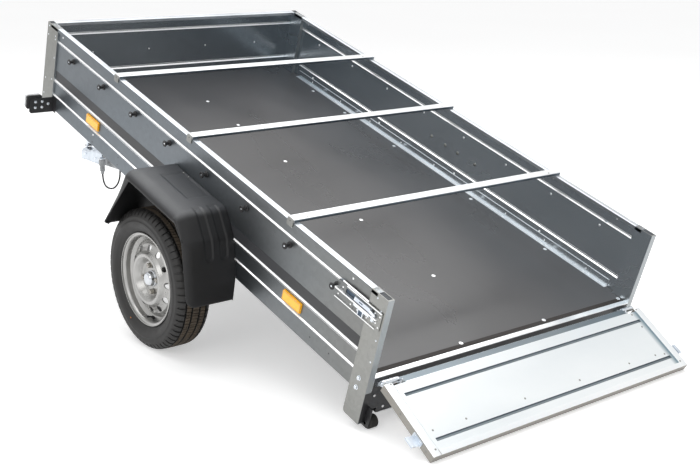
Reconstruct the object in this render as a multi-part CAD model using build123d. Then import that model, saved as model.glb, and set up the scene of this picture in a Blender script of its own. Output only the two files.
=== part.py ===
"""Single-axle tipping utility trailer, millimetres, X right, Y forward, Z up."""
from build123d import *
from math import asin, atan2, cos, degrees, hypot, pi, sin
import os

os.makedirs("parts", exist_ok=True)

# Every piece of the bed is drawn with the bed level, from the middle of the wheel axis, then the
# bed is tipped about that axis. The drawbar is drawn from the same point and stays level.

# Box
box_width = 1300.0
box_length = 2300.0
box_forward = 54.0          # middle of the box ahead of the wheel axis
rim_height = 544.0          # top of the side walls over the wheel axis, bed level
wall_depth = 365.0          # rim down to the lower edge of the walls
floor_depth = 290.0         # rim down to the top of the floor
floor_thick = 12.0
floor_gap = 1.0             # floor board to the walls round it
sheet = 1.5
rim_width = 25.0
rim_lip = 14.0
rim_plate = 2.0
wall_inset = 7.0            # flat of the wall in from the outer faces of the posts
bead_rise = 5.0             # pressed bead standing out from the flat
wall_foot = 30.0            # flange folded in along the lower edge
wall_beads = (              # depth below the rim, half height
    (58.0, 6.0),
    (231.5, 7.0),
    (296.0, 4.5),
)
front_beads = (
    (58.0, 6.0),
    (231.5, 7.0),
)

# Posts at the four corners
post_width = 25.0
post_wall = 2.0
front_post_length = 92.0
rear_post_length = 80.0
front_post_depth = 350.0
rear_post_depth = 464.0
rear_post_corner = 12.0
front_cap_length = 30.0
rear_cap_length = 50.0
cap_plug = 12.0
cap_gap = 0.2

# Edge angles and sill
angle_leg = 32.0
angle_thick = 3.0
angle_gap = 0.5
angle_rear_gap = 40.0
sill_height = 40.0
sill_length = 36.0
sill_thick = 3.0
sill_strip = 21.0           # raised strip along the rear, level with the floor

# Cross bows lying on the rims
bow_width = 36.0
bow_height = 22.0
bow_wall = 2.0
bow_hook = 18.0
bow_hook_thick = 4.0
bow_places = (545.0, -4.0, -639.0)      # centre lines, from the middle of the box

# Underframe
member_places = (840.0, 587.0, 225.0, -293.0, -728.0)
member_width = 40.0
member_height = 58.0
member_thick = 2.5

# Tarpaulin spools
knob_count = 8
knob_end = 240.0            # first and last spool in from the ends of the box
knob_depth = 86.0
knob_stem_radius = 6.0
knob_head_radius = 12.0
knob_reach = 24.0
knob_head_thick = 5.0

# Amber side reflectors
reflector_places = (700.0, -720.0)
reflector_length = 104.0
reflector_height = 40.0
reflector_depth = 264.0
reflector_thick = 7.0

# Front position lamps on their brackets
bracket_reach = 102.0
bracket_height = 68.0
bracket_depth = 306.0       # rim to the top edge of the bracket
bracket_thick = 3.0
marker_width = 70.0
marker_height = 62.0
marker_thick = 24.0
marker_overhang = 14.0

# Rear lamp board and lamps
board_bottom = 452.0
board_thick = 2.0
board_lip = 30.0
board_inset = 14.0          # board face ahead of the rear faces of the posts
lamp_width = 190.0
lamp_height = 84.0
lamp_thick = 30.0
lamp_depth = 397.0
lamp_inset = 175.0          # outer end of the lamp in from the side of the box

# Rear ground rollers, inside the feet of the rear posts
roller_radius = 22.0
roller_width = 36.0
roller_depth = 461.0
roller_back = 5.0
roller_gap = 1.0
roller_pin_radius = 6.0
roller_tab = (16.0, 44.0, 14.0, 62.0)     # behind, ahead, below and above the roller pin
roller_tab_thick = 5.0

# Tailgate
gate_side_inset = 20.0      # ends of the gate in from the sides of the box
gate_length = 295.0
gate_thick = 30.0
gate_sheet = 2.0
gate_rail = 25.0
gate_free_rail = 20.0
gate_gap = 5.0              # closed gate to the rear faces of the posts
gate_inner = 21.5           # hinge line to the inner face of the gate
gate_hinge_depth = 295.5
gate_ribs = (70.0, 244.0)
gate_rib_depth = 4.0        # grooves pressed into the inner face
gate_rib_width = 9.0
gate_rib_margin = 48.0      # ends of the grooves in from the ends of the gate
gate_slant = 26.0           # strip along the hinge edge that leans away
gate_slant_drop = 9.0
ground_gap = 0.5
hinge_pin_radius = 6.0
hinge_gap = 0.4
hinge_tube_wall = 3.5
hinge_tube_length = 62.0
hinge_inset = 12.0          # outer end of each tube in from the end of the gate
hinge_ear_thick = 6.0
hinge_ear_gap = 1.0
hinge_notch_gap = 6.0
catch_length = 38.0
catch_width = 38.0
catch_height = 9.0
catch_from_free = 78.0

# Side latches on the rear posts
latch_front = 227.0         # ahead of the rear of the box
latch_rear = 8.0
latch_top = 50.0            # below the rim
latch_bottom = 115.0
latch_plate = 3.0
latch_window = (136.0, 186.0, 62.0, 76.0)    # rear, front, top and bottom, from the same edges
latch_foot = (213.0, 227.0, 66.0, 115.0)     # below the upper bead of the wall
latch_parts = (             # rear and front ends, top and bottom below the rim, reach off the plate
    (8.0, 180.0, 50.0, 54.0, 4.0),
    (20.0, 227.0, 76.0, 82.0, 11.0),
    (25.0, 227.0, 111.0, 115.0, 5.0),
    (53.0, 134.0, 60.0, 92.0, 8.0),
    (88.0, 106.0, 92.0, 111.0, 6.0),
    (34.0, 50.0, 72.0, 98.0, 9.0),
)

# Mudguards
guard_centre = -45.0        # from the wheel axis
guard_width = 200.0
guard_wall = 5.0
guard_bottom = 115.0        # lower ends over the wheel axis
guard_outline = (           # along from the guard's centre, height over the wheel axis, radius
    (-340.0, 95.0, 0.0),
    (-252.0, 322.0, 60.0),
    (-176.0, 402.0, 44.0),
    (187.0, 402.0, 36.0),
    (212.0, 324.0, 60.0),
    (305.0, 95.0, 0.0),
)
guard_opening = (           # along, height
    (-334.0, 95.0),
    (-236.0, 325.0),
    (-180.0, 371.0),
    (143.0, 371.0),
    (296.0, 95.0),
)
guard_rim_round = 32.0
guard_press = 3.0           # depth of the pressed panel and flutes
guard_panel = (-85.0, 105.0, 8.0, 100.0)     # rear, front, from the wall, from the wall
guard_flutes = (            # from the wall, from the wall
    (30.0, 63.0),
    (92.0, 124.0),
)
guard_flute_front = -150.0
guard_flute_bottom = 252.0
guard_foot_round = 28.0     # lower outer corners
guard_foot_inset = 20.0     # lower ends in from the wall
guard_foot_taper = 90.0     # height over which they draw in

# Wheels
tyre_width = 145.0
tyre_aspect = 0.70
tyre_profile = (            # share of the half width, share of the height from bead to tread
    (0.96, 0.32),
    (1.0, 0.5),
    (0.95, 0.75),
    (0.83, 0.91),
    (0.68, 0.985),
    (0.45, 1.0),
)
rim_diameter = 330.2
rim_inside = 101.6
rim_flange = 13.0
rim_flange_edge = (         # out past the bead seat, below the top of the flange
    (8.0, 2.0),
    (5.0, 0.0),
    (1.0, 2.0),
)
rim_seat_rise = 3.0         # outer edge of the bead seat
rim_seat_width = 6.0
rim_shoulders = (24.0, 30.0)            # outer and inner edge of the well, from the sides of the rim
rim_shoulder_drop = 1.0
rim_well = (36.0, 44.0)                 # outer and inner end of the well's floor, from the sides
rim_plate_thick = 3.0
bead_gap = 1.0              # tyre to the bead seat
bead_foot = 4.0             # inner corner of the bead, in from the side of the rim
bead_shoulder = 3.0         # tyre beside the top of the flange, out from the side of the rim
wheel_gap = 8.0             # tyre to the side of the box
well_depth = 17.0
disc_thick = 3.5
disc_weld = (14.0, 1.0)     # edge of the disc: out from the middle plane, into the barrel
disc_steps = (              # radius, distance out from the wheel's middle plane
    (30.0, 27.0),
    (68.0, 27.0),
    (86.0, 43.0),
    (101.0, 45.0),
    (116.0, 36.0),
    (138.0, 28.0),
)
vent_count = 12
vent_radius = 12.0
vent_circle = 119.0
bolt_count = 4
bolt_circle = 50.0
bolt_turn = -6.0            # first wheel bolt round from the top
bolt_radius = 6.5
bolt_gap = 0.5
bolt_head = 12.0
hub_flange_radius = 64.0
hub_flange_thick = 10.0
hub_radius = 34.0
hub_inner = 62.0
hub_cap_radius = 27.0
hub_cap_reach = 52.0

# Axle
beam_radius = 30.0
beam_wall = 5.0
beam_gap = 13.0             # end of the beam to the hub
beam_plug = 20.0
stub_radius = 15.0
stub_short = 1.0            # end of the stub inside the wheel's middle plane
stub_room = 2.0
running_gap = 0.3
hanger_place = 470.0
hanger_thick = 6.0
hanger_length = 170.0
hanger_ring = 14.0
hanger_foot = 6.0
rail_width = 40.0

# Drawbar, drawn level from the wheel axis
bar_size = 60.0
bar_wall = 3.0
bar_drop = 87.5             # middle of the bar below the side walls
bar_rear = -55.0
clear = 5.0                 # between pieces that move past each other
cheek_thick = 6.0
cheek_length = 150.0
cheek_ahead = 20.0          # middle of the cheeks ahead of the axle
sleeve_wall = 9.0
sleeve_half = 52.0
lock_back = 84.0            # behind the front of the box
lock_gap = 5.0
lock_width = 50.0
lock_length = 60.0
lock_pad = 14.0
tongue_plate = 5.0
tongue_width = 150.0

# Coupling head
ball_ahead = 751.0          # ahead of the front of the box
ball_radius = 25.0
ball_gap = 0.5
coupling_width = 64.0
coupling_wall = 4.0
coupling_overlap = 90.0     # along the bar
coupling_neck = 125.0       # front end of the bar to the ball
coupling_nose = 42.0
coupling_shoulder = 30.0    # full width ahead of the bar's front end
coupling_taper = (4.0, 18.0)            # drawn in on each side at the ball, and at the nose
coupling_drop = 30.0
handle_length = 150.0
handle_width = 34.0
handle_thick = 5.0
handle_rise = 34.0
handle_front = 10.0         # ahead of the ball
handle_foot = 30.0

# Jockey wheel
jockey_back = 430.0         # behind the front end of the bar
jockey_tube_radius = 24.0
jockey_tube_wall = 2.5
jockey_tube_lid = 8.0
jockey_side_gap = 14.0
jockey_tube_above = 204.0   # above the clamp
clamp_wall = 8.0
clamp_drop = 25.0           # lower edge of the clamp below the middle of the bar
clamp_height = 56.0
clamp_arm = 36.0
clamp_gap = 0.3
stem_gap = 0.4
stem_wall = 3.0
stem_radius = 17.0
stem_inside = 192.0         # length of the stem inside the outer tube
stem_collar = 20.0
fork_over = 16.0            # top of the fork over the jockey wheel
fork_under = 12.0           # top of the fork below the outer tube
fork_plate = 5.0
fork_gap = 6.0
fork_trail = 32.0
fork_width = 44.0
fork_back = 30.0            # top plate behind the stem
fork_eye = 18.0             # ends of the legs below the axle
jockey_wheel_radius = 100.0
jockey_wheel_width = 48.0
jockey_hub_radius = 16.0
jockey_hub_gap = 1.0        # hub to the fork
jockey_web = (              # half thickness, above the hub
    (10.0, 4.0),
    (8.0, 44.0),
)
jockey_tread = (            # in from the side of the wheel, below the tread
    (4.0, 36.0),
    (0.0, 26.0),
    (0.0, 12.0),
    (10.0, 0.0),
)
jockey_axle_radius = 7.0
crank_reach = 110.0
crank_radius = 6.0
crank_neck = 24.0
crank_arm = 10.0
crank_grip = 70.0
grip_radius = 12.0

# Plug parked on the drawbar, with its lead
plug_radius = 17.0
plug_length = 78.0
plug_back = 130.0           # behind the front end of the bar
plug_side = 56.0
plug_rise = 12.5            # top of the plug over the middle of the bar
holder_thick = 4.0
lead_radius = 4.5
lead_run = (                # share of the way from the plug to its entry, drop below the plug
    (0.0, 0.0),
    (0.0, 38.0),
    (0.2, 72.0),
    (0.64, 72.0),
    (1.0, 16.0),
)
lead_bend = 42.0
lead_back = 110.0           # entry behind the plug
lead_side = 15.0            # entry beside the middle of the bar
past = 1.0                  # cutters reach past the faces that they cut

# Worked out from the sizes above
half_box = box_width / 2
front_face = box_forward + box_length / 2
rear_face = box_forward - box_length / 2
wall_base = rim_height - wall_depth
floor_top = rim_height - floor_depth
floor_under = floor_top - floor_thick
wheel_radius = rim_diameter / 2 + tyre_width * tyre_aspect
wheel_centre = half_box + wheel_gap + tyre_width / 2
sleeve_inner = beam_radius + running_gap
bar_height = max(wall_base - bar_drop, sleeve_inner + sleeve_wall + bar_size / 2)
beam_end = wheel_centre - hub_inner - beam_gap
stub_end = wheel_centre - stub_short
roller_y = rear_face - roller_back
roller_z = rim_height - roller_depth
gate_half = half_box - gate_side_inset
hinge_tube_outer = gate_half - hinge_inset
# The rollers and the tyres stand on the same ground.
tip = atan2(roller_z, -roller_y) + asin((wheel_radius - roller_radius) / hypot(roller_y, roller_z))
hinge_y = rear_face - gate_gap - gate_inner
hinge_z = rim_height - gate_hinge_depth
gate_outer = gate_thick - gate_inner
hinge_world_y = hinge_y * cos(tip) - hinge_z * sin(tip)
hinge_world_z = wheel_radius + hinge_y * sin(tip) + hinge_z * cos(tip)
# The free edge of the open gate lies on the ground.
gate_slope = asin((hinge_world_z - ground_gap) / hypot(gate_length, gate_outer))
gate_slope = gate_slope - atan2(gate_outer, gate_length)
gate_open = pi / 2 + gate_slope - tip
rear_reach = hinge_world_y - gate_length * cos(gate_slope) - gate_inner * sin(gate_slope)
ball_place = front_face + ball_ahead
bar_front = ball_place - coupling_neck
coupling_rear = bar_front - coupling_overlap
lock_place = front_face - lock_back
jockey_place = bar_front - jockey_back
plug_place = bar_front - plug_back
plug_top = bar_height + plug_rise
front_reach = ball_place + coupling_nose
middle_y = (front_reach + rear_reach) / 2

fork_top = 2 * jockey_wheel_radius + fork_over
jockey_tube_bottom = fork_top + fork_under
bar_middle = wheel_radius + bar_height
clamp_bottom = bar_middle - clamp_drop
jockey_tube_top = clamp_bottom + clamp_height + jockey_tube_above

ground = Pos(0, -middle_y, wheel_radius)
tipped = ground * Rot(degrees(tip), 0, 0)
gate_place = tipped * Pos(0, hinge_y, hinge_z) * Rot(degrees(gate_open), 0, 0)
upright = Pos(0, -middle_y, 0)


def face_at(axis, start, outline):
    """Closed outline in the plane square to an axis: (y, z), (x, z) or (x, y)."""
    if axis == "x":
        plane = Plane((start, 0, 0), x_dir=(0, 1, 0), z_dir=(1, 0, 0))
    elif axis == "y":
        plane = Plane((0, start, 0), x_dir=(1, 0, 0), z_dir=(0, -1, 0))
    else:
        plane = Plane((0, 0, start), x_dir=(1, 0, 0), z_dir=(0, 0, 1))
    return plane * outline


def prism(axis, points, start, end):
    face = face_at(axis, start, make_face(Polyline(*points, close=True)))
    way = -1 if axis == "y" else 1
    return extrude(face, way * (end - start))


def rod(axis, radius, centre, start, end):
    face = face_at(axis, start, Pos(*centre) * Circle(radius))
    way = -1 if axis == "y" else 1
    return extrude(face, way * (end - start))


def pipe(axis, radius, wall, centre, start, end):
    return rod(axis, radius, centre, start, end) - rod(axis, radius - wall, centre, start, end)


def block(x0, x1, y0, y1, z0, z1):
    return Pos((x0 + x1) / 2, (y0 + y1) / 2, (z0 + z1) / 2) * Box(x1 - x0, y1 - y0, z1 - z0)


def spin(points):
    """Outline of (x, radius) turned about the X axis."""
    face = face_at("y", 0, make_face(Polyline(*points, close=True)))
    return revolve(face, Axis.X, 360)


def flip(shape):
    return mirror(shape, Plane.YZ)


def both(shape):
    return [shape, flip(shape)]


def save(name, shape, place):
    if isinstance(shape, (list, tuple)):
        shape = Compound(children=list(shape))
    export_step(place * shape, f"parts/{name}.step")


def save_pair(name, shape, place):
    """The shape is drawn on the left; the right one is its mirror image."""
    save(f"{name}_left", shape, place)
    save(f"{name}_right", flip(shape), place)


def beaded_outline(beads, inset, top, bottom):
    """Outer face of a pressed wall as (inset, height), from the top down."""
    points = [(inset, top)]
    for depth, half in beads:
        height = rim_height - depth
        crest = half / 3
        points += [(inset, height + half), (inset - bead_rise, height + crest)]
        points += [(inset - bead_rise, height - crest), (inset, height - half)]
    return points + [(inset, bottom)]


# Side walls: folded rim, pressed sheet and foot
def side_wall():
    top = rim_height - rim_plate
    outer = beaded_outline(wall_beads, wall_inset, top, wall_base + sheet)
    inner = [(inset + sheet, height) for inset, height in reversed(outer)]
    outline = [(-half_box + inset, height) for inset, height in outer + inner]
    front = front_face - front_post_length
    rear = rear_face + rear_post_length
    wall = prism("y", outline, rear, front)
    foot_in = -half_box + wall_inset
    wall += block(foot_in, foot_in + wall_foot, rear, front, wall_base, wall_base + sheet)
    rim_rear = rear_face + rear_cap_length
    rim_front = front_face - front_cap_length
    wall += block(-half_box, -half_box + rim_width, rim_rear, rim_front, top, rim_height)
    lip_in = -half_box + rim_width
    wall += block(lip_in - rim_plate, lip_in, rear, front, rim_height - rim_lip, top)
    wall += block(-half_box, -half_box + rim_plate, rear, front, rim_height - rim_lip, top)
    return wall


save_pair("side_wall", side_wall(), tipped)


# Front wall between the front posts
def front_wall():
    top = rim_height - rim_plate
    outer = beaded_outline(front_beads, wall_inset, top, wall_base + sheet)
    inner = [(inset + sheet, height) for inset, height in reversed(outer)]
    outline = [(front_face - inset, height) for inset, height in outer + inner]
    side = half_box - post_width
    wall = prism("x", outline, -side, side)
    y_out = front_face - wall_inset
    wall += block(-side, side, y_out - wall_foot, y_out, wall_base, wall_base + sheet)
    wall += block(-side, side, front_face - rim_width, front_face, top, rim_height)
    y_lip = front_face - rim_width
    wall += block(-side, side, y_lip, y_lip + rim_plate, rim_height - rim_lip, top)
    return wall


save("front_wall", front_wall(), tipped)


# Corner posts: flat oblong tubes
def post(rear, front, top, bottom, corner):
    outline = [(front, top), (rear, top), (rear, bottom), (front, bottom)]
    if corner:
        outline[3:] = [(front - corner, bottom), (front, bottom + corner)]
    solid = prism("x", outline, -half_box, -half_box + post_width)
    hollow = block(
        -half_box + post_wall, -half_box + post_width - post_wall,
        rear + post_wall, front - post_wall, bottom - past, top + past,
    )
    sloped = prism(
        "x",
        [(front - corner - post_wall, bottom - past), (front + past, bottom - past),
         (front + past, bottom + corner + post_wall)],
        -half_box, -half_box + post_width,
    ) if corner else None
    return solid - (hollow - sloped if sloped else hollow)


front_post = post(
    front_face - front_post_length, front_face, rim_height - rim_plate,
    rim_height - front_post_depth, 0,
)
rear_post = post(
    rear_face, rear_face + rear_post_length, rim_height - rim_plate,
    rim_height - rear_post_depth, rear_post_corner,
)
save_pair("front_post", front_post, tipped)
tab_x = -half_box + post_width
tab_back, tab_ahead, tab_below, tab_above = roller_tab
rear_post += block(tab_x, tab_x + roller_tab_thick, roller_y - tab_back, roller_y + tab_ahead,
                   roller_z - tab_below, roller_z + tab_above)
roller_x = tab_x + roller_tab_thick + roller_gap
rear_post += rod("x", roller_pin_radius, (roller_y, roller_z), tab_x, roller_x + roller_width + roller_gap)
save_pair("rear_post", rear_post, tipped)


# Black caps in the open tops of the posts
def post_cap(rear, front, inner_rear, inner_front):
    top = block(-half_box, -half_box + post_width, rear, front, rim_height - rim_plate, rim_height)
    margin = post_wall + cap_gap
    plug = block(
        -half_box + margin, -half_box + post_width - margin, inner_rear, inner_front,
        rim_height - rim_plate - cap_plug, rim_height - rim_plate,
    )
    return top + plug


cap_margin = post_wall + cap_gap
front_cap = post_cap(
    front_face - front_cap_length, front_face,
    front_face - front_cap_length, front_face - cap_margin,
)
rear_cap = post_cap(
    rear_face, rear_face + rear_cap_length,
    rear_face + cap_margin, rear_face + rear_cap_length,
)
save("post_caps", both(front_cap) + both(rear_cap), tipped)

# Floor board
floor_side = half_box - wall_inset - sheet - floor_gap
floor_front = front_face - wall_inset - sheet - floor_gap
board_post = half_box - post_width - floor_gap
floor_rear = rear_face + sill_strip + floor_gap
floor = block(-floor_side, floor_side, floor_rear, floor_front, floor_under, floor_top)
for side in (-1, 1):
    x_post = side * (board_post + half_box) / 2
    for rear, front in (
        (rear_face - past, rear_face + rear_post_length + floor_gap),
        (front_face - front_post_length - floor_gap, front_face),
    ):
        corner = Box(half_box - board_post, front - rear, 4 * floor_thick)
        floor -= Pos(x_post, (rear + front) / 2, floor_top) * corner

# Bright angles along both edges of the floor, let in flush with its top
angle_x = -half_box + wall_inset + sheet
angle_rear = rear_face + rear_post_length + angle_rear_gap
angle_front = front_face - front_post_length - angle_rear_gap
angle_low = floor_top - angle_thick
for side in (-1, 1):
    rebate = block(angle_x - past, angle_x + angle_leg + angle_gap, angle_rear - angle_gap,
                   angle_front + angle_gap, angle_low, floor_top + past)
    floor -= rebate if side < 0 else flip(rebate)
save("floor_board", floor, tipped)
angle_outline = [
    (angle_x, angle_low), (angle_x + angle_leg, angle_low), (angle_x + angle_leg, floor_top),
    (angle_x + angle_thick, floor_top), (angle_x + angle_thick, angle_low + angle_leg),
    (angle_x, angle_low + angle_leg),
]
save("edge_angles", both(prism("y", angle_outline, angle_rear, angle_front)), tipped)

# Rear sill under the floor with the hinge tubes
sill_side = half_box - post_width
sill_top = floor_under
sill = block(-sill_side, sill_side, rear_face, rear_face + sill_length, sill_top - sill_height, sill_top)
sill -= block(
    -sill_side, sill_side, rear_face + sill_thick, rear_face + sill_length + past,
    sill_top - sill_height + sill_thick, sill_top - sill_thick,
)
sill += block(-sill_side, sill_side, rear_face, rear_face + sill_strip, sill_top, floor_top)
tube_radius = hinge_pin_radius + hinge_gap + hinge_tube_wall
tube_inner = hinge_tube_outer - hinge_tube_length
tube = pipe("x", tube_radius, hinge_tube_wall, (hinge_y, hinge_z), -hinge_tube_outer, -tube_inner)
web_low = sill_top - sill_thick - 2 * tube_radius
web = prism(
    "x",
    [(rear_face, sill_top - sill_thick), (hinge_y, hinge_z), (hinge_y, hinge_z - tube_radius),
     (rear_face, web_low)],
    -hinge_tube_outer, -tube_inner,
)
web -= rod("x", tube_radius - hinge_tube_wall, (hinge_y, hinge_z), -hinge_tube_outer, -tube_inner)
sill += tube + web
sill += flip(tube + web)
save("rear_sill", sill, tipped)

# Cross bows: flat tubes with a hook over the outside of each rim
bows = []
for place in bow_places:
    y0 = box_forward + place - bow_width / 2
    y1 = y0 + bow_width
    bow = block(-half_box, half_box, y0, y1, rim_height, rim_height + bow_height)
    bow -= block(
        -half_box - past, half_box + past, y0 + bow_wall, y1 - bow_wall,
        rim_height + bow_wall, rim_height + bow_height - bow_wall,
    )
    hook = block(
        -half_box - bow_hook_thick, -half_box, y0, y1,
        rim_height - bow_hook, rim_height + bow_height,
    )
    bows.append(bow + hook + flip(hook))
save("cross_bows", bows, tipped)

# Cross members of the underframe, between the side walls
members = []
for place in member_places:
    y0 = box_forward + place - member_width / 2
    y1 = y0 + member_width
    z0 = floor_under - member_height
    member = block(-floor_side, floor_side, y0, y1, z0, floor_under)
    member -= block(
        -floor_side - past, floor_side + past, y0 + member_thick, y1 + past,
        z0 + member_thick, floor_under - member_thick,
    )
    members.append(member)
save("cross_members", members, tipped)

# Tarpaulin spools along both sides
knob_face = -half_box + wall_inset
knob_pitch = (box_length - 2 * knob_end) / (knob_count - 1)
knobs = []
for number in range(knob_count):
    y = box_forward + (number - (knob_count - 1) / 2) * knob_pitch
    z = rim_height - knob_depth
    knob_end_x = knob_face - knob_reach
    stem = rod("x", knob_stem_radius, (y, z), knob_end_x, knob_face)
    head = rod("x", knob_head_radius, (y, z), knob_end_x, knob_end_x + knob_head_thick)
    foot = rod("x", knob_head_radius, (y, z), knob_face - knob_head_thick, knob_face)
    knobs.append(stem + head + foot)
save("tarp_spools", knobs + [flip(knob) for knob in knobs], tipped)

# Amber reflectors on the sides
reflectors = []
for place in reflector_places:
    y = box_forward + place
    z = rim_height - reflector_depth
    plate = block(
        knob_face - reflector_thick, knob_face, y - reflector_length / 2, y + reflector_length / 2,
        z - reflector_height / 2, z + reflector_height / 2,
    )
    reflectors += both(plate)
save("side_reflectors", reflectors, tipped)

# Brackets of the front position lamps
bracket_y = front_face - front_post_length - bracket_thick
bracket_top = rim_height - bracket_depth
bracket_low = bracket_top - bracket_height
bracket = block(
    -half_box - bracket_reach, -half_box + wall_inset, bracket_y - bracket_thick, bracket_y,
    bracket_low, bracket_top,
)
save("lamp_brackets", both(bracket), tipped)
marker_x = -half_box - bracket_reach - marker_overhang
marker = block(
    marker_x, marker_x + marker_width, bracket_y, bracket_y + marker_thick,
    bracket_top - marker_height + marker_overhang, bracket_top + marker_overhang,
)
save("front_markers", both(marker), tipped)

# Black board between the feet of the rear posts
board_y = rear_face + board_inset
board_z0 = rim_height - board_bottom
board_z1 = sill_top - sill_height
board_side = sill_side - roller_tab_thick
board = block(-board_side, board_side, board_y, board_y + board_thick, board_z0, board_z1)
board += block(-board_side, board_side, board_y, board_y + board_lip, board_z0, board_z0 + board_thick)
board += block(-board_side, board_side, board_y, board_y + board_lip, board_z1 - board_thick, board_z1)
for side in (-1, 1):
    middle = side * (roller_x + roller_width / 2)
    cutter = Box(roller_width + 2 * clear, 4 * board_lip, 2 * (roller_radius + clear))
    board -= Pos(-middle, roller_y, roller_z) * cutter
save("lamp_board", board, tipped)
lamp_z = rim_height - lamp_depth
lamp = block(
    -half_box + lamp_inset, -half_box + lamp_inset + lamp_width,
    board_y - lamp_thick, board_y, lamp_z - lamp_height / 2, lamp_z + lamp_height / 2,
)
save("rear_lamps", both(lamp), tipped)

# Ground rollers on pins through the feet of the rear posts
roller = pipe(
    "x", roller_radius, roller_radius - roller_pin_radius - running_gap,
    (roller_y, roller_z), roller_x, roller_x + roller_width,
)
save("ground_rollers", both(roller), tipped)

# Tailgate, drawn closed from its hinge line: X right, Y forward, Z up
gate_out = -gate_outer
gate = block(-gate_half, gate_half, gate_out, gate_inner, 0, gate_length)
field = gate_half - gate_rail
gate -= block(
    -field, field, gate_out - past, gate_inner - gate_sheet, gate_sheet, gate_length - gate_free_rail,
)
gate -= prism(
    "x",
    [(gate_inner + past, -past), (gate_inner - gate_slant_drop, -past), (gate_inner - gate_slant_drop, 0),
     (gate_inner, gate_slant), (gate_inner + past, gate_slant)],
    -field, field,
)
gate += prism(
    "x",
    [(gate_inner - gate_slant_drop, 0), (gate_inner, gate_slant), (gate_inner - gate_sheet, gate_slant),
     (gate_inner - gate_slant_drop - gate_sheet, 0)],
    -field, field,
)
for side in (-1, 1):
    middle = side * (gate_half - gate_rail / 2)
    gate -= Pos(middle, (gate_out + gate_inner) / 2, gate_length / 2) * Box(
        gate_rail - 2 * gate_sheet, gate_thick - 2 * gate_sheet, gate_length - 2 * gate_sheet,
    )
gate -= block(
    -field, field, gate_out + gate_sheet, gate_inner - gate_sheet,
    gate_length - gate_free_rail + gate_sheet, gate_length - gate_sheet,
)
rib_end = gate_half - gate_rib_margin
for height in gate_ribs:
    low, high = height - gate_rib_width / 2, height + gate_rib_width / 2
    gate += block(-rib_end, rib_end, gate_inner - gate_sheet - gate_rib_depth, gate_inner - gate_sheet,
                  low - gate_sheet, high + gate_sheet)
    gate -= block(-rib_end, rib_end, gate_inner - gate_rib_depth, gate_inner + past, low, high)
notch = tube_radius + hinge_notch_gap
notch_x0 = tube_inner - hinge_ear_thick - hinge_ear_gap
notch_x1 = hinge_tube_outer + hinge_ear_thick + hinge_ear_gap
for x0, x1 in ((-notch_x1, -notch_x0), (notch_x0, notch_x1)):
    gate -= block(x0, x1, gate_out - past, gate_inner + past, -past, notch)
save("tailgate_panel", gate, gate_place)

# Hinge pins of the tailgate, each on an ear beside its tube
pin_inner = tube_inner - hinge_ear_gap
pin = rod("x", hinge_pin_radius, (0, 0), -hinge_tube_outer, -pin_inner)
ear = block(
    -pin_inner, -pin_inner + hinge_ear_thick, gate_out, gate_inner, 0, notch,
)
ear += rod("x", gate_outer, (0, 0), -pin_inner, -pin_inner + hinge_ear_thick)
save("tailgate_hinges", both(pin + ear), gate_place)

catch_z = gate_length - catch_from_free
catch = block(
    -gate_half - catch_width, -gate_half, gate_out + gate_sheet, gate_out + gate_sheet + catch_height,
    catch_z - catch_length / 2, catch_z + catch_length / 2,
)
save("tailgate_catches", both(catch), gate_place)


# Over-centre latches: a plate on the rear post that reaches ahead over the wall, with a foot
# on the wall, bars, lever, loop and keeper
def latch():
    face = -half_box - latch_plate

    def raised(rear, front, top, bottom, start, end):
        return block(start, end, rear_face + rear, rear_face + front, rim_height - bottom, rim_height - top)

    body = raised(latch_rear, latch_front, latch_top, latch_bottom, face, -half_box)
    body -= raised(*latch_window, face - past, -half_box + past)
    body += raised(*latch_foot, -half_box, -half_box + wall_inset)
    for rear, front, top, bottom, reach in latch_parts:
        body += raised(rear, front, top, bottom, face - reach, face)
    return body


save("side_latches", both(latch()), tipped)


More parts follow.
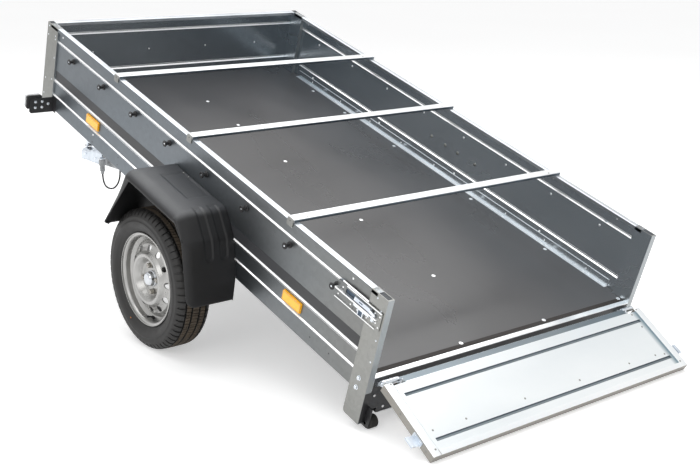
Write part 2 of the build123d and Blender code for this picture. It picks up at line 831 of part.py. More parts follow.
# Mudguards: angular arch with a turned-in outer lip
def guard():
    x_in = -half_box + wall_inset
    x_out = -half_box - guard_width
    low = guard_outline[0][1]

    def arch(shrink, x_end):
        """Solid arch up to the inner edge, its outer rim rounded."""
        face = make_face(Polyline(*[(guard_centre + y, z) for y, z, radius in guard_outline], close=True))
        for y, z, radius in guard_outline:
            if radius:
                corner = face.vertices().sort_by_distance((guard_centre + y, z, 0))[0]
                face = fillet(corner, radius)
        if shrink:
            face = offset(face, -shrink, kind=Kind.INTERSECTION)
        solid = extrude(face_at("x", x_out + shrink, face), x_end - x_out - shrink)
        edges = solid.faces().sort_by(Axis.X)[0].edges()
        rim = edges.filter_by(lambda edge: edge.center().Z > low + 2 * shrink + past)
        return fillet(rim, guard_rim_round - shrink)

    outer = arch(0, x_in)
    pressed = arch(guard_press, x_in)
    inner = arch(guard_wall, x_in)
    opening = prism("x", [(guard_centre + y, z) for y, z in guard_opening],
                    x_out - past, x_out + guard_rim_round)
    bottom = block(x_out - past, x_in + past, guard_centre + guard_outline[0][0] - past,
                   guard_centre + guard_outline[-1][0] + past, low - past, guard_bottom)
    # Pressed panel on top, and two flutes down the rear face
    top = guard_outline[2][1] + past
    rear, front, near, far = guard_panel
    skin = outer - pressed
    press = skin & block(x_in - far, x_in - near, guard_centre + rear, guard_centre + front,
                         guard_opening[2][1], top)
    for near, far in guard_flutes:
        press += skin & block(x_in - far, x_in - near, guard_centre + guard_outline[0][0],
                              guard_centre + guard_flute_front, guard_flute_bottom, top)
    # Lower ends: rounded outside, drawn in from the wall inside
    rear, front = guard_centre + guard_outline[0][0], guard_centre + guard_outline[-1][0]
    round_x, round_z = x_out + guard_foot_round, guard_bottom + guard_foot_round
    foot = block(x_out - past, round_x, rear, front, guard_bottom - past, round_z)
    foot -= rod("y", guard_foot_round, (round_x, round_z), rear, front)
    foot += prism(
        "y",
        [(x_in + past, guard_bottom - past), (x_in - guard_foot_inset, guard_bottom - past),
         (x_in - guard_foot_inset, guard_bottom), (x_in + past, guard_bottom + guard_foot_taper)],
        rear, front,
    )
    # The inner edge follows the beads of the wall.
    edge = beaded_outline(wall_beads, wall_inset, rim_height, wall_base)
    behind = [(x_in + wall_inset, wall_base), (x_in + wall_inset, rim_height)]
    wall = prism("y", [(-half_box + inset, height) for inset, height in edge] + behind, rear, front)
    return outer - inner - opening - bottom - press - foot - wall


save_pair("mudguard", guard(), tipped)


# Wheel parts, drawn for the left wheel with its outer side towards -X
def tyre():
    bead = rim_diameter / 2 + bead_gap
    half = rim_inside / 2
    side = wheel_radius - bead
    points = [(-half + bead_foot, bead), (-half - bead_shoulder, bead + rim_flange + bead_gap)]
    points += [(-share * tyre_width / 2, bead + height * side) for share, height in tyre_profile]
    mirrored = [(-x, radius) for x, radius in reversed(points)]
    return spin(points + mirrored)


def wheel_rim():
    seat = rim_diameter / 2
    half = rim_inside / 2
    well = seat - well_depth
    lip = seat + rim_flange
    edge = [(half + out, lip - drop) for out, drop in rim_flange_edge]
    edge += [(half, seat + rim_seat_rise), (half - rim_seat_width, seat)]
    outer = [(-x, radius) for x, radius in edge]
    outer += [(-half + rim_shoulders[0], seat - rim_shoulder_drop), (-half + rim_well[0], well)]
    outer += [(half - rim_well[1], well), (half - rim_shoulders[1], seat - rim_shoulder_drop)]
    outer += edge[::-1]
    inner = [(x, radius - rim_plate_thick) for x, radius in reversed(outer)]
    barrel = spin(outer + inner)
    weld_out, weld_in = disc_weld
    face = [(-out, radius) for radius, out in disc_steps] + [(-weld_out, well - rim_plate_thick + weld_in)]
    back = [(x + disc_thick, radius) for x, radius in reversed(face)]
    disc = spin(face + back)
    for number in range(vent_count):
        cutter = rod("x", vent_radius, (0, vent_circle), -half, 0)
        disc -= Rot(360 * number / vent_count, 0, 0) * cutter
    for number in range(bolt_count):
        cutter = rod("x", bolt_radius + bolt_gap, (0, bolt_circle), -half, 0)
        disc -= Rot(bolt_turn + 360 * number / bolt_count, 0, 0) * cutter
    return barrel + disc


def hub():
    face = -disc_steps[0][1] + disc_thick
    body = spin([
        (face, 0), (face, hub_flange_radius), (face + hub_flange_thick, hub_flange_radius),
        (face + hub_flange_thick, hub_radius), (hub_inner, hub_radius), (hub_inner, 0),
    ])
    cap = rod("x", hub_cap_radius, (0, 0), -hub_cap_reach, face)
    bore = rod("x", stub_radius + running_gap, (0, 0), stub_short - stub_room, hub_inner + past)
    body = body + cap - bore
    for number in range(bolt_count):
        bolt = rod("x", bolt_radius, (0, bolt_circle), -disc_steps[0][1] - bolt_head, face)
        body += Rot(bolt_turn + 360 * number / bolt_count, 0, 0) * bolt
    return body


wheel_left = ground * Pos(-wheel_centre, 0, 0)
wheel_right = ground * Pos(wheel_centre, 0, 0)
for name, shape in (("tyre", tyre()), ("wheel_rim", wheel_rim()), ("hub", hub())):
    save(f"{name}_left", shape, wheel_left)
    save(f"{name}_right", flip(shape), wheel_right)

# Axle beam with its stubs
beam = pipe("x", beam_radius, beam_wall, (0, 0), -beam_end, beam_end)
for side in (-1, 1):
    end = side * beam_end
    beam += rod("x", beam_radius, (0, 0), min(end, end - side * beam_plug), max(end, end - side * beam_plug))
    beam += rod("x", stub_radius, (0, 0), min(end, side * stub_end), max(end, side * stub_end))
save("axle_beam", beam, tipped)


# Hangers that carry the axle below the walls
def hanger():
    x0 = -hanger_place - hanger_thick / 2
    x1 = x0 + hanger_thick
    low = -beam_radius - hanger_ring
    plate = prism(
        "x",
        [(-hanger_length / 2, wall_base), (-beam_radius - hanger_ring, 0), (-beam_radius, low),
         (beam_radius, low), (beam_radius + hanger_ring, 0), (hanger_length / 2, wall_base)],
        x0, x1,
    )
    plate -= rod("x", beam_radius + running_gap, (0, 0), x0, x1)
    foot = block(x1, x0 + hanger_thick + rail_width, -hanger_length / 2, hanger_length / 2,
                 wall_base - hanger_foot, wall_base)
    return plate + foot


save("axle_hangers", both(hanger()), tipped)

# Long rails that carry the hangers under the cross members
rail_front = box_forward + member_places[0]
rail_rear = box_forward + member_places[-1]
rail_x = -hanger_place - hanger_thick / 2
rail_top = floor_under - member_height
rail = block(rail_x, rail_x + rail_width, rail_rear, rail_front, wall_base, rail_top)
save("long_rails", both(rail), tipped)

# Drawbar
bar_half = bar_size / 2
bar = block(-bar_half, bar_half, bar_rear, bar_front, bar_height - bar_half, bar_height + bar_half)
bar -= block(
    -bar_half + bar_wall, bar_half - bar_wall, bar_rear - past, bar_front + past,
    bar_height - bar_half + bar_wall, bar_height + bar_half - bar_wall,
)
save("drawbar", bar, ground)

# Sleeve on the axle with its cheeks
sleeve = pipe("x", sleeve_inner + sleeve_wall, sleeve_wall, (0, 0), -sleeve_half, sleeve_half)
cheek = prism(
    "x",
    [(cheek_ahead - cheek_length / 2, bar_height + bar_half),
     (cheek_ahead + cheek_length / 2, bar_height + bar_half),
     (cheek_ahead + cheek_length / 2, bar_height - bar_half), (sleeve_inner + sleeve_wall, 0),
     (0, -sleeve_inner - sleeve_wall), (-sleeve_inner - sleeve_wall, 0),
     (-sleeve_inner - sleeve_wall, bar_height)],
    -bar_half - cheek_thick, -bar_half,
)
cheek -= rod("x", sleeve_inner, (0, 0), -bar_half - cheek_thick, -bar_half)
save("tip_pivot", sleeve + cheek + flip(cheek), ground)

# Rest pad on the bar and the tongue of the bed that comes down on it
pad_top = bar_height + bar_half + lock_pad
pad = block(
    -bar_half, bar_half, lock_place - lock_length / 2, lock_place + lock_length / 2,
    bar_height + bar_half, pad_top,
)
save("rest_pad", pad, ground)
tongue = block(
    -lock_width / 2, lock_width / 2, lock_place - lock_length / 2, lock_place + lock_length / 2,
    pad_top + lock_gap, wall_base,
)
tongue += block(
    -tongue_width / 2, tongue_width / 2, lock_place - lock_length / 2, front_face - wall_inset - sheet,
    wall_base + sheet, wall_base + sheet + tongue_plate,
)
tongue += block(-lock_width / 2, lock_width / 2, lock_place - lock_length / 2,
                lock_place + lock_length / 2, wall_base, wall_base + sheet + tongue_plate)
save("lock_tongue", tongue, tipped)

# Coupling head over the front end of the bar
head_low = bar_height - coupling_drop
head_top = bar_height + bar_half + coupling_wall
head_front = ball_place + coupling_nose
head_half = coupling_width / 2 + coupling_wall
head_shoulder = bar_front + coupling_shoulder
head = block(-head_half, head_half, coupling_rear, head_shoulder, head_low, head_top)
head -= block(
    -bar_half, bar_half, coupling_rear - past, bar_front + past,
    head_low - past, bar_height + bar_half,
)
ball_half, nose_half = (head_half - inset for inset in coupling_taper)
neck = prism(
    "z",
    [(-head_half, head_shoulder), (head_half, head_shoulder), (ball_half, ball_place),
     (nose_half, head_front), (-nose_half, head_front), (-ball_half, ball_place)],
    head_low, head_top,
)
socket = Pos(0, ball_place, head_low + ball_radius) * Sphere(ball_radius + ball_gap)
mouth = rod("z", ball_radius + ball_gap, (0, ball_place), head_low - past, head_low + ball_radius)
head = head + neck - socket - mouth
save("coupling_head", head, ground)
handle = block(
    -handle_width / 2, handle_width / 2, ball_place - handle_length, ball_place + handle_front,
    head_top + handle_rise - handle_thick, head_top + handle_rise,
)
handle += block(
    -handle_width / 2, handle_width / 2,
    ball_place + handle_front - handle_foot, ball_place + handle_front,
    head_top, head_top + handle_rise,
)
save("coupling_handle", handle, ground)

# Jockey wheel: clamp on the bar, then outer tube, fork and wheel, drawn from the ground
jockey_x = bar_half + jockey_side_gap + jockey_tube_radius
ring = rod("z", jockey_tube_radius + clamp_gap + clamp_wall, (jockey_x, jockey_place),
           clamp_bottom, clamp_bottom + clamp_height)
ring += block(bar_half, jockey_x, jockey_place - clamp_arm / 2, jockey_place + clamp_arm / 2,
              clamp_bottom, clamp_bottom + clamp_height)
ring -= rod("z", jockey_tube_radius + clamp_gap, (jockey_x, jockey_place),
            clamp_bottom, clamp_bottom + clamp_height)
save("jockey_clamp", ring, upright)

tube_place = (jockey_x, jockey_place)
outer_tube = pipe("z", jockey_tube_radius, jockey_tube_wall, tube_place, jockey_tube_bottom, jockey_tube_top)
crank_z = jockey_tube_top + jockey_tube_lid
outer_tube += rod("z", jockey_tube_radius, tube_place, jockey_tube_top, crank_z)
save("jockey_tube", outer_tube, upright)
arm_z = crank_z + crank_neck
crank = rod("z", crank_radius, tube_place, crank_z, arm_z)
crank += block(jockey_x - crank_radius, jockey_x + crank_radius, jockey_place - crank_radius,
               jockey_place + crank_reach, arm_z, arm_z + crank_arm)
crank += rod("z", grip_radius, (jockey_x, jockey_place + crank_reach), arm_z + crank_arm,
             arm_z + crank_arm + crank_grip)
save("jockey_crank", crank, upright)

stem_top = jockey_tube_bottom + stem_inside
collar_radius = jockey_tube_radius - jockey_tube_wall - stem_gap
stem = pipe("z", stem_radius, stem_wall, tube_place, fork_top, stem_top)
stem += pipe("z", collar_radius, collar_radius - stem_radius + stem_wall, tube_place,
             stem_top - stem_collar, stem_top)
axle_y = jockey_place - fork_trail
fork_in = jockey_wheel_width / 2 + fork_gap
fork_out = fork_in + fork_plate
fork = stem
fork_rear = jockey_place - stem_radius - fork_back
fork += block(jockey_x - fork_out, jockey_x + fork_out, fork_rear,
              jockey_place + stem_radius, fork_top - fork_plate, fork_top)
fork_leg = [
    (jockey_place + stem_radius, fork_top), (fork_rear, fork_top),
    (axle_y - fork_width / 2, jockey_wheel_radius - fork_eye),
    (axle_y + fork_width / 2, jockey_wheel_radius - fork_eye),
]
fork += prism("x", fork_leg, jockey_x + fork_in, jockey_x + fork_out)
fork += prism("x", fork_leg, jockey_x - fork_out, jockey_x - fork_in)
fork += rod("x", jockey_axle_radius, (axle_y, jockey_wheel_radius), jockey_x - fork_out, jockey_x + fork_out)
save("jockey_fork", fork, upright)

jockey_half = jockey_wheel_width / 2
jockey_bore = jockey_axle_radius + running_gap
jockey_hub = jockey_half + fork_gap - jockey_hub_gap
wheel_side = [(jockey_hub, jockey_bore), (jockey_hub, jockey_hub_radius)]
wheel_side += [(half, jockey_hub_radius + rise) for half, rise in jockey_web]
wheel_side += [(jockey_half - inset, jockey_wheel_radius - drop) for inset, drop in jockey_tread]
wheel = spin([(-x, radius) for x, radius in wheel_side] + wheel_side[::-1])
save("jockey_wheel", Pos(jockey_x, axle_y, jockey_wheel_radius) * wheel, upright)

# Plug parked in its holder beside the bar
plug_x = -plug_side
plug_low = plug_top - plug_length
holder = block(
    plug_x - plug_radius - holder_thick, -bar_half, plug_place - plug_radius - holder_thick,
    plug_place + plug_radius + holder_thick, plug_top, plug_top + holder_thick,
)
save("plug_holder", holder, ground)
plug = rod("z", plug_radius, (plug_x, plug_place), plug_low, plug_top)
save("plug", plug, ground)
lead_route = [
    (plug_x + share * (plug_side - lead_side), plug_place - share * lead_back, plug_low - drop)
    for share, drop in lead_run
]
lead_route.append((-lead_side, plug_place - lead_back, bar_height - bar_half))
lead_path = FilletPolyline(*lead_route, radius=lead_bend)
lead = sweep(Plane(lead_route[0], z_dir=(0, 0, -1)) * Circle(lead_radius), path=lead_path)
save("lead", lead, ground)
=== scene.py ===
from math import atan2, cos, pi, radians, sin

import bmesh
import bpy
from mathutils import Matrix, Vector


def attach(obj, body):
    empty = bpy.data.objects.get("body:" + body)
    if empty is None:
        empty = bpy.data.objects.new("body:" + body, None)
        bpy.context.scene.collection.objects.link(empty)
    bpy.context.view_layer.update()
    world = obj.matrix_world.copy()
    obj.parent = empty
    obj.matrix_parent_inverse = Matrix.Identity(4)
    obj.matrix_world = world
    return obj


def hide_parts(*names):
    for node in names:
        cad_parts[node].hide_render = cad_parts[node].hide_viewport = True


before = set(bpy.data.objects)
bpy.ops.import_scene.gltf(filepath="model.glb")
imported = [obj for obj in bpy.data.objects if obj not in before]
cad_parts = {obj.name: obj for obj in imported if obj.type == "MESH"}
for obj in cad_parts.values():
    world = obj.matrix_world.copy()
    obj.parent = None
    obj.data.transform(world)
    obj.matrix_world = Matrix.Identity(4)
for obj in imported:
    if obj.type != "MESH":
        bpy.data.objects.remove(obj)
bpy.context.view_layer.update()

# How the trailer stands, in millimetres and degrees
stand = {
    "tip": 17.1102,
    "wheelRadius": 266.6,
    "axleBack": 297.6547,
    "hingeBack": -1122.5,
    "hingeHeight": 248.5,
    "gateOpen": 107.2107,
    "halfWidth": 850.0,
}

mm = Matrix.Scale(0.001, 4)
onBar = Matrix.Translation((0, -stand["axleBack"] / 1000, stand["wheelRadius"] / 1000)) @ mm
onGround = Matrix.Translation((0, -stand["axleBack"] / 1000, 0)) @ mm
onBed = onBar @ Matrix.Rotation(radians(stand["tip"]), 4, "X")
onGate = (
    onBed
    @ Matrix.Translation((0, stand["hingeBack"], stand["hingeHeight"]))
    @ Matrix.Rotation(radians(stand["gateOpen"]), 4, "X")
)
placeOf = {"bed": onBed, "drawbar": onBar, "tailgate": onGate, "jockey_leg": onGround,
    "jockey_fork": onGround}

# Box of the trailer, from the wheel axis with the bed level
bed = {
    "half": 650.0,
    "front": 1204.0,
    "rear": -1096.0,
    "middle": 54.0,
    "rim": 544.0,
    "base": 179.0,
    "floor": 254.0,
    "wallIn": 7.0,
    "sheet": 1.5,
}
wallFace = -bed["half"] + bed["wallIn"]
innerFace = wallFace + bed["sheet"]

upward, downward = (0, 0, 1), (0, 0, -1)
forward, rearward = (0, 1, 0), (0, -1, 0)
leftward, rightward = (-1, 0, 0), (1, 0, 0)
sides = ((-1, "left"), (1, "right"))


# Mesh tools: everything is drawn in millimetres and placed by a matrix

def curvedCorners(points, steps=4):
    # points are (a, b) or (a, b, radius) along an open line
    line = []
    for i, point in enumerate(points):
        radius = point[2] if len(point) > 2 else 0
        here = Vector(point[:2])
        if not radius or i in (0, len(points) - 1):
            line.append(here)
            continue
        back = (Vector(points[i - 1][:2]) - here).normalized()
        ahead = (Vector(points[i + 1][:2]) - here).normalized()
        half = back.angle(ahead) / 2
        reach = radius / max(0.05, abs(sin(half) / cos(half)))
        start, end = here + back * reach, here + ahead * reach
        centre = here + (back + ahead).normalized() * (radius / sin(half))
        a0 = atan2(start.y - centre.y, start.x - centre.x)
        a1 = atan2(end.y - centre.y, end.x - centre.x)
        turn = (a1 - a0 + pi) % (2 * pi) - pi
        for k in range(steps + 1):
            a = a0 + turn * k / steps
            line.append(centre + radius * Vector((cos(a), sin(a))))
    return line


def loopCorners(points, steps=4):
    # the same for a closed outline
    ring = [tuple(points[-1])] + [tuple(p) for p in points] + [tuple(points[0])]
    return curvedCorners(ring, steps)[1:-1]


def oblong(a0, a1, b0, b1, radius=0, steps=4):
    # closed outline with four equal corners
    return loopCorners([(a0, b0, radius), (a1, b0, radius), (a1, b1, radius), (a0, b1, radius)], steps)


def thickened(line, thickness):
    # closed outline of a bent sheet: the line, and its copy moved to the left of the way it runs
    shifted = []
    for i, p in enumerate(line):
        a = (line[i] - line[i - 1]).normalized() if i else None
        b = (line[i + 1] - line[i]).normalized() if i < len(line) - 1 else None
        a, b = a or b, b or a
        normal = Vector((-(a + b).y, (a + b).x)).normalized()
        shifted.append(p + normal * thickness / max(0.4, normal.dot(Vector((-a.y, a.x)))))
    return list(line) + shifted[::-1]


def bent(points, thickness, steps=4):
    return thickened(curvedCorners(points, steps), thickness)


def circle(radius, centre=(0, 0), count=32, start=0.0):
    turns = [start + 2 * pi * k / count for k in range(count)]
    return [(centre[0] + radius * cos(a), centre[1] + radius * sin(a)) for a in turns]


def ringAbout(x, radius, count):
    # closed loop of points about the X axis
    turns = [2 * pi * k / count for k in range(count + 1)]
    return [(x, radius * cos(a), radius * sin(a)) for a in turns]


def spot(axis, a, b, along):
    return {"x": (along, a, b), "y": (a, along, b), "z": (a, b, along)}[axis]


def addRings(bm, rings, slot=0, closed=False):
    # skin over rings that have as many points each
    for a, b in zip(rings, rings[1:] + (rings[:1] if closed else [])):
        for k in range(len(a)):
            j = (k + 1) % len(a)
            bm.faces.new((a[k], a[j], b[j], b[k])).material_index = slot


def addRun(bm, axis, outline, start, end, slot=0, caps=True):
    # outline drawn square to an axis and run along it
    low = [bm.verts.new(spot(axis, p[0], p[1], start)) for p in outline]
    high = [bm.verts.new(spot(axis, p[0], p[1], end)) for p in outline]
    addRings(bm, [low, high], slot)
    if caps:
        for face in (bm.faces.new(low[::-1]), bm.faces.new(high)):
            face.material_index = slot
    return low + high


def addBlock(bm, x0, x1, y0, y1, z0, z1, slot=0):
    return addRun(bm, "z", [(x0, y0), (x1, y0), (x1, y1), (x0, y1)], z0, z1, slot)


def addRod(bm, axis, radius, centre, start, end, count=32, slot=0):
    return addRun(bm, axis, circle(radius, centre, count), start, end, slot)


def addPipe(bm, axis, outer, inner, start, end, slot=0):
    # hollow run between two outlines with as many points
    rings = []
    for loop, at in ((outer, start), (outer, end), (inner, end), (inner, start)):
        rings.append([bm.verts.new(spot(axis, p[0], p[1], at)) for p in loop])
    addRings(bm, rings, slot, closed=True)


def addTurned(bm, profile, count=64, slot=0, closed=False, place=None):
    # profile of (x, radius) turned about the X axis
    rings = []
    for x, radius in profile:
        if radius < 0.01:
            rings.append([bm.verts.new((x, 0, 0))])
        else:
            rings.append([bm.verts.new((x, b, c)) for b, c in circle(radius, count=count)])
    for a, b in zip(rings, rings[1:] + (rings[:1] if closed else [])):
        for k in range(count):
            j = (k + 1) % count
            corners = []
            for v in (a[k % len(a)], a[j % len(a)], b[j % len(b)], b[k % len(b)]):
                if v not in corners:
                    corners.append(v)
            if len(corners) > 2:
                bm.faces.new(corners).material_index = slot
    if place:
        bmesh.ops.transform(bm, matrix=place, verts=[v for ring in rings for v in ring])


def addTube(bm, points, radius, count=12, slot=0):
    # round bar through points in space
    line = [Vector(p) for p in points]
    rings = []
    side = None
    for i, p in enumerate(line):
        way = (line[min(i + 1, len(line) - 1)] - line[max(i - 1, 0)]).normalized()
        if side is None:
            side = way.orthogonal().normalized()
        side = (side - way * side.dot(way)).normalized()
        across = way.cross(side)
        turns = [2 * pi * k / count for k in range(count)]
        rings.append([bm.verts.new(p + radius * (cos(a) * side + sin(a) * across)) for a in turns])
    addRings(bm, rings, slot)
    for end in (rings[0][::-1], rings[-1]):
        bm.faces.new(end).material_index = slot


def curvedSpace(points, steps=8):
    # bar through points in space, rounded where a radius is given
    line = []
    for i, point in enumerate(points):
        here = Vector(point[:3])
        if len(point) < 4 or i in (0, len(points) - 1):
            line.append(here)
            continue
        start = here + (Vector(points[i - 1][:3]) - here).normalized() * point[3]
        end = here + (Vector(points[i + 1][:3]) - here).normalized() * point[3]
        for k in range(steps + 1):
            t = k / steps
            line.append(start.lerp(here, t).lerp(here.lerp(end, t), t))
    return line


def turnTo(direction):
    # matrix that lays the X axis along a direction
    return Vector(direction).to_track_quat("X", "Z").to_matrix().to_4x4()


# Heads of the fasteners: rounds of (out, radius) in shares of the size, plus a fixed part in millimetres
boltHeads = {
    "dome": [(16, ((0, -0.6, 0.9), (0, 0.1, 1), (0.18, 0, 0.96), (0.36, 0, 0.74), (0.47, 0, 0.4),
        (0.5, 0, 0)))],
    "flat": [(16, ((0, -0.6, 1), (0, 0.3, 1), (0, 0.7, 0.9), (0, 0.7, 0.45), (0, 0.2, 0.35), (0, 0.2, 0)))],
    "hex": [(20, ((0, -0.6, 1.3), (0, 0.6, 1.3), (0, 1.2, 1.18), (0, 1.2, 0))),
            (6, ((0, 1.0, 1), (0.62, 0, 1), (0.8, 0, 0.86), (0.8, 0, 0)))],
}


def addBolt(bm, at, out, size, slot=0, head="dome"):
    # fastener whose foot is at a point and whose head looks along out
    place = Matrix.Translation(at) @ turnTo(out)
    for count, profile in boltHeads[head]:
        addTurned(bm, [(size * share + fixed, size * wide) for share, fixed, wide in profile], count, slot,
            place=place)


def paintFaces(bm, choose):
    # choose gets a face's middle and normal and may name its slot
    bmesh.ops.recalc_face_normals(bm, faces=bm.faces[:])
    for face in bm.faces:
        slot = choose(face.calc_center_median(), face.normal, face.material_index)
        if slot is not None:
            face.material_index = slot


def flip(bm, verts, faces):
    for v in verts:
        v.co.x = -v.co.x
    bmesh.ops.reverse_faces(bm, faces=faces)


def addMirror(bm):
    # the same again on the right
    copied = bmesh.ops.duplicate(bm, geom=bm.verts[:] + bm.edges[:] + bm.faces[:])["geom"]
    flip(bm, [g for g in copied if isinstance(g, bmesh.types.BMVert)],
         [g for g in copied if isinstance(g, bmesh.types.BMFace)])


def newObject(name, data):
    made = bpy.data.objects.new(name, data)
    bpy.context.scene.collection.objects.link(made)
    return made


def shapedMesh(piece):
    # the object's mesh with its modifiers worked in
    graph = bpy.context.evaluated_depsgraph_get()
    return bpy.data.meshes.new_from_object(piece.evaluated_get(graph))


def cutAway(bm, cutter):
    # takes the cutter's solids out of the mesh
    made = []
    for name, source in (("whole", bm), ("cut", cutter)):
        bmesh.ops.recalc_face_normals(source, faces=source.faces[:])
        mesh = bpy.data.meshes.new(name)
        source.to_mesh(mesh)
        made.append(newObject(name, mesh))
    cutter.free()
    away = made[0].modifiers.new("cut", "BOOLEAN")
    away.object = made[1]
    away.solver = "EXACT"
    result = shapedMesh(made[0])
    bm.clear()
    bm.from_mesh(result)
    for mesh in [item.data for item in made] + [result]:
        bpy.data.meshes.remove(mesh)


def newPiece(bm, name, materials, place, mirrored, outward=True):
    if mirrored:
        flip(bm, bm.verts, bm.faces[:])
    if outward:
        bmesh.ops.recalc_face_normals(bm, faces=bm.faces[:])
    mesh = bpy.data.meshes.new(name)
    bmesh.ops.transform(bm, matrix=place, verts=bm.verts[:])
    bm.to_mesh(mesh)
    bm.free()
    for material in materials.split():
        mesh.materials.append(bpy.data.materials[material])
    return newObject(name, mesh)


def settlePiece(piece, name, body):
    # a piece that has a CAD node's name stands for that node
    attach(piece, body)
    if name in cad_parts:
        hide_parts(name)
    return piece


def finishPiece(bm, name, materials, bevel=0.0, steps=2, body="bed", place=None, sharp=32.0,
        smooth=True, mirrored=False):
    piece = newPiece(bm, name, materials, place or placeOf[body], mirrored)
    if smooth:
        piece.data.polygons.foreach_set("use_smooth", [True] * len(piece.data.polygons))
        piece.data.set_sharp_from_angle(angle=radians(sharp))
    if bevel:
        edges = piece.modifiers.new("softEdges", "BEVEL")
        edges.width = bevel / 1000
        edges.segments = steps
        edges.limit_method = "ANGLE"
        edges.angle_limit = radians(sharp)
        flats = piece.modifiers.new("flatFaces", "WEIGHTED_NORMAL")
        flats.keep_sharp = True
        flats.weight = 90
    return settlePiece(piece, name, body)


# Finishes, all made of nodes

def addNode(tree, kind, inputs=(), **settings):
    # node with its settings; an input given as a socket is linked
    node = tree.nodes.new("ShaderNode" + kind)
    for name, value in settings.items():
        setattr(node, name, value)
    return setInputs(tree, node, dict(inputs))


def setInputs(tree, node, inputs):
    for name, value in inputs.items():
        if isinstance(value, bpy.types.NodeSocket):
            tree.links.new(value, node.inputs[name])
        else:
            node.inputs[name].default_value = value
    return node


def addRamp(tree, value, places, colours):
    ramp = addNode(tree, "ValToRGB", {"Fac": value})
    for element, place, colour in zip(ramp.color_ramp.elements, places, colours):
        element.position = place
        element.color = (*colour, 1)
    return ramp.outputs["Color"]


def addMix(tree, inputs, blend="MIX"):
    return addNode(tree, "Mix", inputs, data_type="RGBA", blend_type=blend).outputs["Result"]


def newMaterial(name):
    material = bpy.data.materials.new(name)
    material.use_nodes = True
    return material, material.node_tree, material.node_tree.nodes["Principled BSDF"]


def newFinish(name, colours, rough, metal, patch, grain, bump, stretch=(1, 1, 1), depth=0.0004, cells=None,
        coat=0.0, specular=0.5, patchDetail=4.0, paintedLightDrift=None, paintedSheen=None):
    # two colours in soft patches, roughness that wanders, and a fine grain in the bump
    material, tree, shader = newMaterial(name)
    where = addNode(tree, "TexCoord").outputs["Object"]
    lay = addNode(tree, "Mapping", {"Rotation": (-radians(stand["tip"]), 0, 0), "Scale": stretch,
        "Vector": where})
    lay = lay.outputs["Vector"]
    cloud = addNode(tree, "TexNoise", {"Scale": patch, "Detail": patchDetail, "Vector": lay}).outputs["Fac"]
    fine = addNode(tree, "TexNoise", {"Scale": grain, "Detail": 3, "Vector": lay}).outputs["Fac"]
    tint = addRamp(tree, cloud, (0.3, 0.7), colours)
    if cells:
        size, share = cells
        flake = addNode(tree, "TexVoronoi", {"Scale": size, "Vector": where})
        grey = addNode(tree, "RGBToBW", {"Color": flake.outputs["Color"]})
        tint = addMix(tree, {"Factor": share, "A": tint, "B": grey.outputs["Val"]}, "OVERLAY")
    if paintedLightDrift:
        # painted reflection and shade: the colour is multiplied towards another tone along one axis
        along, start, end, tone = paintedLightDrift
        parts = addNode(tree, "SeparateXYZ", {"Vector": where})
        slide = addNode(tree, "MapRange", {"From Min": start, "From Max": end, "Value": parts.outputs[along]})
        tint = addMix(tree, {"B": (*tone, 1), "Factor": slide.outputs["Result"], "A": tint}, "MULTIPLY")
    if paintedSheen:
        # painted highlight: faces that look up turn paler, a painted sheen of the light from above
        facing = addNode(tree, "NewGeometry").outputs["Normal"]
        parts = addNode(tree, "SeparateXYZ", {"Vector": facing})
        slide = addNode(tree, "MapRange", {"From Min": 0.45, "From Max": 1.0, "Value": parts.outputs["Z"]})
        tint = addMix(tree, {"B": (*paintedSheen, 1), "Factor": slide.outputs["Result"], "A": tint})
    spread = addNode(tree, "MapRange", {"To Min": rough[0], "To Max": rough[1], "From Min": 0.35,
        "From Max": 0.65, "Value": cloud})
    press = addNode(tree, "Bump", {"Strength": bump, "Distance": depth, "Height": fine})
    setInputs(tree, shader, {
        "Metallic": metal, "Coat Weight": coat, "Coat Roughness": 0.15, "Specular IOR Level": specular,
        "Base Color": tint, "Roughness": spread.outputs["Result"], "Normal": press.outputs["Normal"],
    })
    return material


# Directions in which patches are drawn out
alongX, alongY, alongZ = (0.3, 1, 1), (1, 0.5, 1), (1, 1, 0.4)

